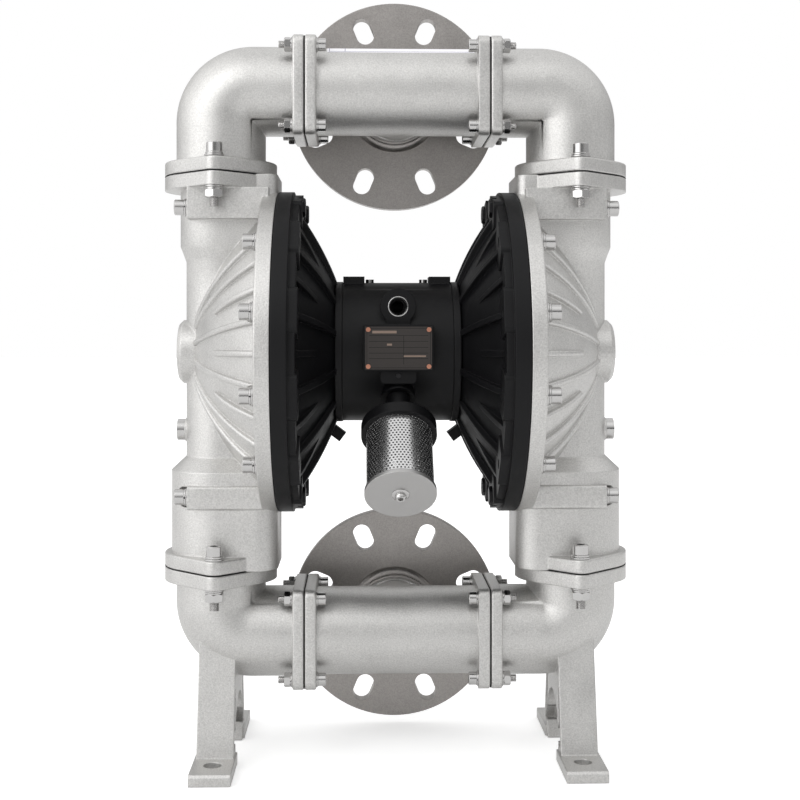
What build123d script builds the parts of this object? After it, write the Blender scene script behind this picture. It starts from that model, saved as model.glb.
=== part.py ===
from math import cos, radians, sin, sqrt, tan
import os

from build123d import *

os.makedirs("parts", exist_ok=True)

# Air operated double diaphragm pump, in millimetres. X runs from the left chamber to the right one, Y away
# from the nameplate side, Z up. The origin lies on the floor, in the middle of the four foot holes.

# Heights and spacing of the pipework
pipe_x = 183.0
suction_pipe_z = 125.5
suction_joint_rise = 70.5
chamber_rise = 221.0
discharge_joint_rise = 181.0
discharge_pipe_rise = 90.5
tee_half = 94.5

lower_joint_z = suction_pipe_z + suction_joint_rise
chamber_z = lower_joint_z + chamber_rise
upper_joint_z = chamber_z + discharge_joint_rise
discharge_pipe_z = upper_joint_z + discharge_pipe_rise

# Pipes
pipe_bore_d = 80.0
elbow_d = 92.5
cast_edge_r = 2.0
tee_d = 90.0
bend_r = 34.0
branch_d = 88.0
branch_bore_d = 77.0
branch_length = 62.0

# Slotted pipe flanges on the back
flange_d = 229.0
flange_thickness = 17.0
flange_back_y = 100.0
flange_fillet_r = 7.0
slot_count = 8
slot_width = 19.5
slot_inner_pcd = 170.0
slot_outer_pcd = 190.5

# Fasteners
bolt_d = 10.0
bolt_hole_d = 11.0
bolt_head_d = 16.0
bolt_head_h = 10.0
washer_d = 20.0
washer_h = 4.0
spotface_d = 20.6
spotface_h = 16.0
nut_across_flats = 17.0
nut_h = 8.0
thread_gap = 0.05
thread_end_room = 1.0
small_bolt_d = 8.0
small_bolt_hole_d = 9.0
small_bolt_head_d = 13.0
small_bolt_head_h = 8.0
small_washer_d = 16.0
small_washer_h = 2.0
small_nut_flats = 13.0
small_nut_h = 6.5
small_thread_proud = 6.0
thread_proud = 9.0

# Square joints between the elbows and the tees
square_side = 102.0
square_corner_r = 9.0
square_thickness = 11.5
square_bolt_pitch = 82.0
joint_gasket_thickness = 1.0
gasket_margin = 1.0

# Two bolt joints between the chambers and the elbows
oval_r = 58.0
oval_ear_r = 10.5
oval_bolt_r = 66.0
oval_thickness = 14.5

# Ball valves
ball_d = 72.0
ball_lift = 14.0
ball_gap = 0.3
stop_bar_width = 8.0
stop_bar_h = 10.0
seat_d = 96.0
seat_below = 8.0
seat_above = 4.0
seat_bore_d = 56.0
seat_mouth_d = 66.0
seat_angle = 35.0
seat_gap = 0.1
ring_inner_d = 99.2
ring_width = 4.0
ring_thickness = 2.0

# Diaphragm and its clamping rims
rim_face_x = 122.0
fluid_rim_thickness = 15.0
air_rim_thickness = 16.0
rim_r = 166.0
rim_edge = 1.2
rim_bolt_inset = 14.0
rim_bolt_count = 12
bead_inset = 24.0
bead_depth = 3.0
diaphragm_thickness = 5.0
diaphragm_bulge = 11.0
convolution_r = 95.0
convolution_gap = 1.0

# Fluid chamber casting
dome_root_inset = 23.0
dome_hub_x = 205.0
dome_hub_r = 42.0
dome_arc_r = 236.0
cavity_mouth_inset = 37.0
cavity_end_x = 198.0
cavity_end_r = 36.0
cavity_arc_r = 228.0
hub_x = 225.5
hub_r = 33.0
hub_edge = 4.0
passage_d = 60.0
waist_r = 36.0
upper_neck_r = 42.0
lower_neck_r = 51.0
neck_corner_r = 22.0
waist_corner_r = 10.0
upper_neck_drop = 72.0
upper_taper = 16.0
lower_neck_height = 99.0
lower_taper = 14.0
cage_d = 90.0
cage_roof = 15.0
block_end_x = 212.0
block_inner_x = 130.0
block_front_y = 54.0
block_half_h = 12.0
block_edge = 3.0
drain_drop = 81.3
drain_d = 22.0
drain_face_x = 228.0
drain_thread_d = 14.0
drain_boss_proud = 1.0
drain_thread_length = 6.5

# Ribs of the fluid chamber
rib_step = 12.25
rib_width = 6.0
rib_root_inset = 15.0
rib_tip_x = 207.0
rib_tip_r = 45.0
rib_arc_r = 240.0
rib_round = 2.4
short_rib_tip_x = 181.0
short_rib_tip_r = 99.0
short_rib_arc_r = 160.0
rib_sink = 4.0

# Air chamber casting
hub_face_x = 56.0
air_hub_r = 73.0
air_hub_thickness = 8.0
air_dome_hub_rise = 7.0
air_dome_hub_r = 68.0
air_dome_root_rise = 5.5
air_dome_root_inset = 30.0
air_dome_arc_r = 400.0
air_cavity_rise = 16.0
air_cavity_r = 62.0
air_cavity_arc_r = 150.0
pad_h = 9.8
pad_inner_inset = 34.0
pad_outer_inset = 4.0
web_h = 7.5
air_rib_width = 6.0
air_rib_hub_r = 72.5
air_rib_root_rise = 7.5
air_rib_root_inset = 22.0
air_rib_arc_r = 290.0
air_short_rib_rise = 23.0
air_short_rib_r = 101.0
air_hub_rib_rise = 5.5
ring_step = 1.5
rim_nut_recess = 5.0
rim_nut_seat_d = 20.4
pad_length = 46.0
pad_corner_r = 6.0
lug_half_width = 9.0
lug_rise = 7.0
lug_drop = 84.0
lug_length = 17.0
lug_depth = 11.0
lug_tilt = 37.0

# Centre body
body_half = hub_face_x
body_r = 72.0
top_pad_length = 22.0
top_pad_end_gap = 0.5
top_pad_width = 32.0
top_pad_z = 78.0
inlet_rise = 46.0
inlet_boss_d = 36.0
inlet_boss_y = 68.0
inlet_web_width = 25.0
inlet_d = 18.6
inlet_depth = 22.0
plate_pad_y = 81.5
plate_rise = 4.7
plate_pad_margin = 2.0
lower_pad_width = 36.0
lower_pad_drop = 31.0
lower_pad_y = 77.0
lower_pad_corner_r = 5.0
lower_screw_drop = 23.0
exhaust_depth = 20.0

# Air valve, pilot rod and diaphragm rod
rod_d = 28.0
rod_running_gap = 0.05
rod_bush_d = 36.0
rod_bush_length = 20.0
rod_seal_d = 38.0
rod_seal_length = 6.0
rod_bore_gap = 1.0
spigot_d = 16.0
clamp_disc_r = 60.0
inner_disc_thickness = 6.0
outer_disc_thickness = 7.0
rod_nut_flats = 24.0
rod_nut_h = 10.0
rod_end_proud = 3.0
rod_stroke = 20.0
pilot_stroke = 4.0
sleeve_d = 34.0
sleeve_half = 50.0
spool_d = 24.0
spool_waist_d = 15.0
spool_half = 38.0
spool_land = 14.0
sleeve_port_d = 12.0
pilot_y = 40.0
pilot_d = 10.0
pilot_gap = 0.5
body_screw_d = 8.0
body_screw_head_d = 13.0
body_screw_head_h = 8.0
body_screw_r = 54.0
body_screw_depth = 18.0
body_screw_count = 4

# Exhaust muffler
muffler_tilt = 45.0
muffler_shift = 13.0
muffler_boss_d = 34.0
muffler_boss_t = 79.0
muffler_cap_t = 115.0
muffler_cap_thickness = 12.0
muffler_cap_d = 74.0
muffler_screen_d = 64.0
muffler_screen_wall = 1.2
muffler_screen_seat = 3.0
muffler_length = 68.0
muffler_disc_d = 68.0
muffler_disc_thickness = 4.0
nipple_d = 23.0
nipple_bore_d = 17.0
nipple_depth = 12.0
nipple_proud = 12.0
nipple_window_d = 7.0
nipple_window_inset = 8.0
nipple_wall = 3.0
tie_bolt_d = 6.0
tie_head_d = 11.0
tie_head_h = 4.0
tie_washer_d = 17.0
tie_washer_thickness = 1.5

# Nameplate
plate_width = 66.0
plate_height = 42.4
plate_thickness = 1.5
rivet_d = 4.6
rivet_shank_d = 3.0
rivet_head_h = 1.4
rivet_depth = 5.0
rivet_inset = 3.0
cover_screw_x = 28.0
cover_screw_head_d = 8.5
cover_screw_head_h = 3.4
cover_screw_d = 5.0
cover_screw_depth = 9.0
pad_screw_head_d = 5.0
pad_screw_head_h = 0.8
pad_screw_d = 4.0

# Legs of the suction elbows
foot_pitch_y = 160.0
foot_hole_d = 18.0
foot_width = 41.0
foot_front_y = 110.0
foot_heel_y = 40.0
foot_thickness = 11.0
foot_edge = 2.5
leg_width = 37.0
leg_foot_y = 61.0
leg_head_y = 34.5
leg_head_z = 130.0
arch_half = 33.0
arch_z = 62.0
pocket_low_half = 7.0
pocket_high_half = 4.5
pocket_low_y = 47.0
pocket_high_y = 39.0
pocket_depth = 11.0
pocket_floor_z = 16.0
pocket_top_z = 75.0

# Sizes that follow from the ones above
chamber_axis = Axis((0, 0, chamber_z), (1, 0, 0))
chamber_side = Plane(origin=(0, 0, chamber_z), x_dir=(1, 0, 0), z_dir=(0, -1, 0))
fluid_rim_x = rim_face_x + fluid_rim_thickness
air_rim_x = rim_face_x - air_rim_thickness
air_dome_hub_x = hub_face_x + air_dome_hub_rise
air_dome_root_x = air_rim_x - air_dome_root_rise
air_cavity_x = hub_face_x + air_cavity_rise
pad_face_x = air_rim_x - pad_h
web_face_x = air_rim_x - web_h
air_rib_root_x = air_rim_x - air_rib_root_rise
air_short_rib_x = hub_face_x + air_short_rib_rise
air_hub_rib_x = hub_face_x + air_hub_rib_rise
lug_x = hub_face_x + lug_rise
rim_nut_seat_x = pad_face_x + rim_nut_recess
rim_bolt_step = 360 / rim_bolt_count
rim_bolt_r = rim_r - rim_bolt_inset
bead_outer_r = rim_r - bead_inset
dome_root_r = rim_r - dome_root_inset
cavity_mouth_r = rim_r - cavity_mouth_inset
rib_root_r = rim_r - rib_root_inset
air_dome_root_r = rim_r - air_dome_root_inset
air_rib_root_r = rim_r - air_rib_root_inset
pad_inner_r = rim_r - pad_inner_inset
pad_outer_r = rim_r - pad_outer_inset
flange_front_y = flange_back_y - flange_thickness
slot_pitch_r = (slot_inner_pcd + slot_outer_pcd) / 4
rim_bolt_angles = [rim_bolt_step * (place + 0.5) for place in range(rim_bolt_count)]
rim_bolt_places = [(rim_bolt_r * cos(radians(angle)), rim_bolt_r * sin(radians(angle)))
                   for angle in rim_bolt_angles]
long_bolt_places = [place for place in rim_bolt_places if abs(place[0]) < block_front_y]
short_bolt_places = [place for place in rim_bolt_places if abs(place[0]) > block_front_y]
slot_length = (slot_outer_pcd - slot_inner_pcd) / 2 + slot_width
tee_face_x = tee_half - joint_gasket_thickness / 2
elbow_face_x = tee_half + joint_gasket_thickness / 2
seat_contact_r = ball_d / 2 * cos(radians(seat_angle))
seat_contact_drop = (seat_mouth_d / 2 - seat_contact_r) / tan(radians(seat_angle))
ball_rise = (seat_above - seat_contact_drop + ball_d / 2 * sin(radians(seat_angle))
             + ball_gap / sin(radians(seat_angle)))
ball_stop_rise = ball_rise + ball_lift + ball_gap
cage_top_z = lower_joint_z + ball_stop_rise + sqrt((ball_d / 2)**2 - (passage_d / 2)**2) - cage_roof
disc_face_x = rim_face_x - diaphragm_thickness / 2
outer_disc_face_x = rim_face_x + diaphragm_thickness / 2
rod_half = disc_face_x - inner_disc_thickness
rod_end_x = outer_disc_face_x + outer_disc_thickness + rod_nut_h + rod_end_proud
pilot_half = rod_half - rod_stroke + pilot_stroke - pilot_gap
top_pad_x = body_half - top_pad_end_gap - top_pad_length / 2
valve_z = chamber_z + inlet_rise
plate_z = chamber_z + plate_rise
muffler_way = Vector(0, -sin(radians(muffler_tilt)), -cos(radians(muffler_tilt)))
muffler_side = Vector(0, -cos(radians(muffler_tilt)), sin(radians(muffler_tilt)))
muffler_origin = Vector(0, 0, chamber_z) + muffler_side * muffler_shift
muffler_disc_t = muffler_cap_t + muffler_cap_thickness + muffler_length
pocket_corners = [(pocket_low_y - pocket_low_half, pocket_floor_z),
                  (pocket_low_y + pocket_low_half, pocket_floor_z),
                  (pocket_high_y + pocket_high_half, pocket_top_z),
                  (pocket_high_y - pocket_high_half, pocket_top_z)]
nipple_end_t = muffler_cap_t + muffler_cap_thickness + nipple_proud


def across_x(x, z=chamber_z):
    """The plane square to X at x, with its origin at height z, its x along +Y and its y along +Z."""
    return Plane(origin=(x, 0, z), x_dir=(0, 1, 0), z_dir=(1, 0, 0))


def across_muffler(t):
    """The plane square to the muffler's axis, t along it from beside the centre body's axis."""
    return Plane(origin=muffler_origin + muffler_way * t, x_dir=(1, 0, 0), z_dir=muffler_way)


def neck_outline(radius, corner):
    """A neck in plan: round on the outside, with flat flanks back to the plane of the rims."""
    with Locations((pipe_x, 0)):
        Circle(radius)
    with Locations((rim_face_x + corner, radius - corner), (rim_face_x + corner, corner - radius)):
        Circle(corner)
    make_hull()


def oval_outline():
    """The two bolt joint in plan: a disc with an ear at the front and one at the back."""
    with Locations((pipe_x, 0)):
        Circle(oval_r)
    with Locations((pipe_x, oval_bolt_r), (pipe_x, -oval_bolt_r)):
        Circle(oval_ear_r)
    make_hull()


def oval_flange(joint_z, way):
    """One half of a two bolt joint: a plate from the joint up or down, with its far edge rounded."""
    with BuildPart() as plate:
        with BuildSketch(Plane.XY.offset(joint_z)):
            oval_outline()
        extrude(amount=way * oval_thickness)
        fillet(plate.faces().sort_by(Axis.Z)[way].edges(), cast_edge_r)
    return plate


def square_flange(face_x, pipe_z, way):
    """One half of a square joint: a plate from the joint's face along X, with its far edge rounded."""
    with BuildPart() as plate:
        with BuildSketch(across_x(face_x, pipe_z)):
            RectangleRounded(square_side, square_side, square_corner_r)
        extrude(amount=way * square_thickness)
        fillet(plate.faces().sort_by(Axis.X)[way].edges(), cast_edge_r)
    return plate


def write(piece, node):
    """Labels a finished piece and writes it to its own file."""
    piece.part.label = node
    export_step(piece.part, f"parts/{node}.step")


def write_both(right, node):
    """Writes a right hand piece and its mirror image on the left."""
    with BuildPart() as left:
        mirror(right.part, about=Plane.YZ)
    write(right, f"right_{node}")
    write(left, f"left_{node}")


def rib_fin(angle, tip_x, tip_r, arc_r):
    """One cast rib of the fluid dome, in the plane through the chamber's axis at an angle from the front."""
    way = Vector(0, -cos(radians(angle)), sin(radians(angle)))
    fin_plane = Plane(origin=(0, 0, chamber_z), x_dir=(1, 0, 0), z_dir=Vector(1, 0, 0).cross(way))
    with BuildPart() as fin:
        with BuildSketch(fin_plane):
            with BuildLine():
                crest = RadiusArc((fluid_rim_x - rim_edge, rib_root_r), (tip_x, tip_r), arc_r)
                Line(crest @ 1, (tip_x - rib_sink, tip_r - rib_sink))
                base = RadiusArc((tip_x - rib_sink, tip_r - rib_sink),
                                 (fluid_rim_x - rim_edge, dome_root_r - rib_sink), -arc_r)
                Line(base @ 1, crest @ 0)
            make_face()
        extrude(amount=rib_width / 2, both=True)
        crest_edges = fin.edges().filter_by(GeomType.CIRCLE).sort_by(SortBy.LENGTH)[-2:]
        fillet(crest_edges, rib_round)
    return fin


def air_rib(angle, hub_x_end, hub_r_end):
    """One cast rib of the air chamber, from the pad ring towards the hub."""
    way = Vector(0, cos(radians(angle)), sin(radians(angle)))
    fin_plane = Plane(origin=(0, 0, chamber_z), x_dir=(1, 0, 0), z_dir=Vector(1, 0, 0).cross(way))
    with BuildPart() as fin:
        with BuildSketch(fin_plane):
            with BuildLine():
                RadiusArc((hub_x_end, hub_r_end), (air_rib_root_x, air_rib_root_r), air_rib_arc_r)
                Polyline((air_rib_root_x, air_rib_root_r), (air_rim_x, air_rib_root_r),
                         (air_rim_x, air_dome_root_r - rib_sink),
                         (hub_x_end + rib_sink, hub_r_end - rib_sink), (hub_x_end, hub_r_end))
            make_face()
        extrude(amount=air_rib_width / 2, both=True)
    return fin


# Ribs of the fluid bowl, the same at the front and at the back
fluid_ribs = []
for rib_place in range(-4, 5):
    for rib_angle in (rib_place * rib_step, 180 - rib_place * rib_step):
        if rib_place in (-2, 0, 2):
            fluid_ribs.append(rib_fin(rib_angle, short_rib_tip_x, short_rib_tip_r, short_rib_arc_r).part)
        else:
            fluid_ribs.append(rib_fin(rib_angle, rib_tip_x, rib_tip_r, rib_arc_r).part)

# Fluid chambers: cast bowl, upright passage, ball cage, two oval flanges and blocks for the long bolts
upper_neck_z = upper_joint_z - upper_neck_drop
lower_neck_z = lower_joint_z + lower_neck_height
waist_low_z = lower_neck_z + lower_taper
waist_high_z = upper_neck_z - upper_taper
long_bolt_rise = rim_bolt_r * sin(radians(90 - rim_bolt_step / 2))
block_top = upper_joint_z - chamber_z - oval_thickness

with BuildPart() as right_fluid_chamber:
    with BuildSketch(chamber_side):
        with BuildLine():
            Polyline((rim_face_x, 0), (rim_face_x, rim_r), (fluid_rim_x - rim_edge, rim_r),
                     (fluid_rim_x, rim_r - rim_edge), (fluid_rim_x, dome_root_r))
            RadiusArc((fluid_rim_x, dome_root_r), (dome_hub_x, dome_hub_r), dome_arc_r)
            Polyline((dome_hub_x, dome_hub_r), (dome_hub_x, hub_r), (hub_x - hub_edge, hub_r),
                     (hub_x, hub_r - hub_edge), (hub_x, 0), (rim_face_x, 0))
        make_face()
    revolve(axis=chamber_axis)

    # Waist and necks
    with BuildSketch(Plane.XY.offset(waist_low_z)):
        neck_outline(waist_r, waist_corner_r)
    extrude(amount=waist_high_z - waist_low_z)
    with BuildSketch(Plane.XY.offset(upper_neck_z)):
        neck_outline(upper_neck_r, waist_corner_r)
    extrude(amount=upper_neck_drop)
    with BuildSketch(Plane.XY.offset(waist_high_z)):
        neck_outline(waist_r, waist_corner_r)
    with BuildSketch(Plane.XY.offset(upper_neck_z)):
        neck_outline(upper_neck_r, waist_corner_r)
    loft(ruled=True)
    with BuildSketch(Plane.XY.offset(lower_joint_z)):
        neck_outline(lower_neck_r, neck_corner_r)
    extrude(amount=lower_neck_height)
    with BuildSketch(Plane.XY.offset(lower_neck_z)):
        neck_outline(lower_neck_r, neck_corner_r)
    with BuildSketch(Plane.XY.offset(waist_low_z)):
        neck_outline(waist_r, waist_corner_r)
    loft(ruled=True)

    # Oval flanges
    add([oval_flange(lower_joint_z, 1).part, oval_flange(upper_joint_z, -1).part])

    # Blocks that the long rim bolts run through
    with BuildSketch(across_x(block_inner_x)):
        with Locations((0, (long_bolt_rise - block_half_h + block_top) / 2)):
            Rectangle(2 * block_front_y, block_top - long_bolt_rise + block_half_h)
        with Locations((0, -long_bolt_rise)):
            RectangleRounded(2 * block_front_y, 2 * block_half_h, block_edge)
    extrude(amount=block_end_x - block_inner_x)

    # Drain boss
    with BuildSketch(across_x(pipe_x)):
        with Locations((0, -drain_drop)):
            Circle(drain_d / 2 + drain_boss_proud)
    extrude(amount=waist_r + drain_boss_proud)

    # Ribs
    add(fluid_ribs)

    # Bowl behind the diaphragm and the groove for its bead
    with BuildSketch(chamber_side):
        with BuildLine():
            Polyline((cavity_end_x, cavity_end_r), (cavity_end_x, 0), (rim_face_x, 0),
                     (rim_face_x, bead_outer_r), (rim_face_x + bead_depth, bead_outer_r),
                     (rim_face_x + bead_depth, cavity_mouth_r))
            RadiusArc((rim_face_x + bead_depth, cavity_mouth_r), (cavity_end_x, cavity_end_r), cavity_arc_r)
        make_face()
    revolve(axis=chamber_axis, mode=Mode.SUBTRACT)

    # Passage, ball cage and recesses for the valve seats
    with BuildSketch(Plane(origin=(pipe_x, 0, 0), x_dir=(1, 0, 0), z_dir=(0, -1, 0))):
        Polygon((0, lower_joint_z), (seat_d / 2 + seat_gap, lower_joint_z),
                (seat_d / 2 + seat_gap, lower_joint_z + seat_above),
                (cage_d / 2, lower_joint_z + seat_above), (cage_d / 2, cage_top_z),
                (passage_d / 2, cage_top_z + cage_roof),
                (passage_d / 2, upper_joint_z - seat_below),
                (seat_d / 2 + seat_gap, upper_joint_z - seat_below), (seat_d / 2 + seat_gap, upper_joint_z),
                (0, upper_joint_z), align=None)
    revolve(axis=Axis((pipe_x, 0, 0), (0, 0, 1)), mode=Mode.SUBTRACT)
    with BuildSketch(Plane.XY.offset(upper_joint_z)):
        with Locations((pipe_x, 0)):
            Circle(ring_inner_d / 2 + ring_width)
            Circle(ring_inner_d / 2, mode=Mode.SUBTRACT)
    extrude(amount=-ring_thickness, mode=Mode.SUBTRACT)

    # Bolt holes
    with BuildSketch(across_x(rim_face_x)):
        with Locations(*rim_bolt_places):
            Circle(bolt_hole_d / 2)
    extrude(amount=block_end_x - rim_face_x, mode=Mode.SUBTRACT)
    for seat_x, places in ((fluid_rim_x, short_bolt_places), (block_end_x, long_bolt_places)):
        with BuildSketch(across_x(seat_x)):
            with Locations(*places):
                Circle(spotface_d / 2)
        extrude(amount=spotface_h, mode=Mode.SUBTRACT)
    for face_z, inwards in ((lower_joint_z, 1), (upper_joint_z, -1)):
        with BuildSketch(Plane.XY.offset(face_z)):
            with Locations((pipe_x, oval_bolt_r), (pipe_x, -oval_bolt_r)):
                Circle(bolt_hole_d / 2)
        extrude(amount=inwards * oval_thickness, mode=Mode.SUBTRACT)
    with BuildSketch(across_x(pipe_x)):
        with Locations((0, -drain_drop)):
            Circle(drain_thread_d / 2 + thread_gap)
    extrude(amount=waist_r + drain_boss_proud, mode=Mode.SUBTRACT)
write_both(right_fluid_chamber, "fluid_chamber")

# Ribs of the air chamber: a full one at each rim bolt and a short one between
air_ribs = []
for rib_place in range(2 * rim_bolt_count):
    if rib_place % 2:
        air_ribs.append(air_rib(rib_place * rim_bolt_step / 2, air_hub_rib_x, air_rib_hub_r).part)
    else:
        air_ribs.append(air_rib(rib_place * rim_bolt_step / 2, air_short_rib_x, air_short_rib_r).part)

# Air chambers: black dished castings between the diaphragms and the centre body
with BuildPart() as right_air_chamber:
    with BuildSketch(chamber_side):
        with BuildLine():
            Polyline((air_dome_hub_x, air_dome_hub_r), (air_dome_hub_x, air_hub_r), (hub_face_x, air_hub_r),
                     (hub_face_x, 0), (rim_face_x, 0), (rim_face_x, rim_r - rim_edge),
                     (rim_face_x - rim_edge, rim_r), (air_rim_x, rim_r), (air_rim_x, air_dome_root_r),
                     (air_dome_root_x, air_dome_root_r))
            RadiusArc((air_dome_hub_x, air_dome_hub_r), (air_dome_root_x, air_dome_root_r), air_dome_arc_r)
        make_face()
    revolve(axis=chamber_axis)

    # Raised ring with a pad for each rim bolt
    with BuildSketch(across_x(air_rim_x)):
        Circle(pad_outer_r - ring_step)
        Circle(pad_inner_r, mode=Mode.SUBTRACT)
    extrude(amount=web_face_x - air_rim_x)
    with BuildSketch(across_x(air_rim_x)):
        with PolarLocations((pad_inner_r + pad_outer_r) / 2, rim_bolt_count, start_angle=rim_bolt_step / 2):
            RectangleRounded(pad_outer_r - pad_inner_r, pad_length, pad_corner_r)
    extrude(amount=pad_face_x - air_rim_x)
    add(air_ribs)

    # Lug below the hub
    with BuildSketch(Plane.XZ.offset(-lug_half_width)):
        with Locations((lug_x, chamber_z - lug_drop)):
            Rectangle(lug_length, lug_depth, rotation=lug_tilt)
    extrude(amount=2 * lug_half_width)

    # Hollow behind the diaphragm and the groove for its bead
    with BuildSketch(chamber_side):
        with BuildLine():
            Polyline((rim_face_x - bead_depth, cavity_mouth_r), (rim_face_x - bead_depth, bead_outer_r),
                     (rim_face_x, bead_outer_r), (rim_face_x, 0), (hub_face_x + air_hub_thickness, 0),
                     (hub_face_x + air_hub_thickness, air_cavity_r), (air_cavity_x, air_cavity_r))
            RadiusArc((air_cavity_x, air_cavity_r), (rim_face_x - bead_depth, cavity_mouth_r),
                      air_cavity_arc_r)
        make_face()
    revolve(axis=chamber_axis, mode=Mode.SUBTRACT)

    # Holes for the rods, the valve and the screws
    with BuildSketch(across_x(hub_face_x)):
        Circle(rod_d / 2 + rod_bore_gap)
        with Locations((pilot_y, 0)):
            Circle(pilot_d / 2 + rod_bore_gap)
        with PolarLocations(body_screw_r, body_screw_count, start_angle=180 / body_screw_count):
            Circle((body_screw_d + bolt_hole_d - bolt_d) / 2)
    extrude(amount=air_hub_thickness, mode=Mode.SUBTRACT)
    with BuildSketch(across_x(pad_face_x)):
        with Locations(*short_bolt_places):
            Circle(bolt_d / 2 + thread_gap)
        with Locations(*long_bolt_places):
            Circle(bolt_hole_d / 2)
    extrude(amount=rim_face_x - pad_face_x, mode=Mode.SUBTRACT)
    with BuildSketch(across_x(pad_face_x)):
        with Locations(*long_bolt_places):
            Circle(rim_nut_seat_d / 2)
    extrude(amount=rim_nut_recess, mode=Mode.SUBTRACT)
write_both(right_air_chamber, "air_chamber")

# Centre body: a drum with pads, the rod bore, the bore of the air valve and the ports
with BuildPart() as centre_body:
    with BuildSketch(across_x(-body_half)):
        Circle(body_r)
    extrude(amount=2 * body_half)
    with BuildSketch(Plane.XY.offset(chamber_z)):
        with Locations((-top_pad_x, 0), (top_pad_x, 0)):
            Rectangle(top_pad_length, top_pad_width)
    extrude(amount=top_pad_z)

    # Boss of the air inlet, with a web down to the pad that carries the nameplate
    with BuildSketch(Plane.XZ):
        with Locations((0, valve_z)):
            Circle(inlet_boss_d / 2)
        with Locations((0, (valve_z + plate_z) / 2)):
            Rectangle(inlet_web_width, valve_z - plate_z)
    extrude(amount=inlet_boss_y)
    with BuildSketch(Plane.XZ):
        with Locations((0, plate_z)):
            RectangleRounded(plate_width + 2 * plate_pad_margin, plate_height + 2 * plate_pad_margin,
                             plate_pad_margin)
    extrude(amount=plate_pad_y)
    with BuildSketch(Plane.XZ):
        with Locations((0, chamber_z - lower_pad_drop / 2)):
            RectangleRounded(lower_pad_width, lower_pad_drop, lower_pad_corner_r)
    extrude(amount=lower_pad_y)

    # Boss of the exhaust
    with BuildSketch(across_muffler(0)):
        Circle(muffler_boss_d / 2)
    extrude(amount=muffler_boss_t)

    # Bores along X
    with BuildSketch(across_x(-body_half)):
        Circle(rod_d / 2 + rod_bore_gap)
        with Locations((0, inlet_rise)):
            Circle(sleeve_d / 2)
        with Locations((pilot_y, 0)):
            Circle(pilot_d / 2 + rod_running_gap)
    extrude(amount=2 * body_half, mode=Mode.SUBTRACT)
    for way in (-1, 1):
        with BuildSketch(across_x(way * body_half)):
            Circle(rod_seal_d / 2)
        extrude(amount=-way * rod_seal_length, mode=Mode.SUBTRACT)
        with BuildSketch(across_x(way * (body_half - rod_seal_length))):
            Circle(rod_bush_d / 2)
        extrude(amount=-way * rod_bush_length, mode=Mode.SUBTRACT)
        with BuildSketch(across_x(way * body_half)):
            with PolarLocations(body_screw_r, body_screw_count, start_angle=180 / body_screw_count):
                Circle(body_screw_d / 2 + thread_gap)
        extrude(amount=-way * body_screw_depth, mode=Mode.SUBTRACT)

    # Air inlet, exhaust and the small tapped holes
    with BuildSketch(Plane.XZ.offset(inlet_boss_y)):
        with Locations((0, valve_z)):
            Circle(inlet_d / 2)
    extrude(amount=-inlet_depth, mode=Mode.SUBTRACT)
    with BuildSketch(Plane.XZ.offset(inlet_boss_y)):
        with Locations((0, valve_z)):
            Circle(sleeve_port_d / 2)
    extrude(amount=-inlet_boss_y, mode=Mode.SUBTRACT)
    with BuildSketch(across_muffler(muffler_boss_t)):
        Circle(nipple_d / 2)
    extrude(amount=-nipple_depth, mode=Mode.SUBTRACT)
    with BuildSketch(across_muffler(muffler_boss_t - nipple_depth)):
        Circle(nipple_bore_d / 2)
    extrude(amount=-exhaust_depth, mode=Mode.SUBTRACT)
    with BuildSketch(Plane.XZ.offset(plate_pad_y)):
        with Locations((0, plate_z)):
            with GridLocations(plate_width - 2 * rivet_inset, plate_height - 2 * rivet_inset, 2, 2):
                Circle(rivet_shank_d / 2)
    extrude(amount=-rivet_depth, mode=Mode.SUBTRACT)
    with BuildSketch(Plane.XZ.offset(lower_pad_y)):
        with Locations((0, chamber_z - lower_screw_drop)):
            Circle(pad_screw_d / 2)
    extrude(amount=-cover_screw_depth, mode=Mode.SUBTRACT)
    with BuildSketch(Plane.XY.offset(chamber_z + body_r)):
        with Locations((-cover_screw_x, 0), (cover_screw_x, 0)):
            Circle(cover_screw_d / 2)
    extrude(amount=-cover_screw_depth, mode=Mode.SUBTRACT)
write(centre_body, "centre_body")


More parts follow.
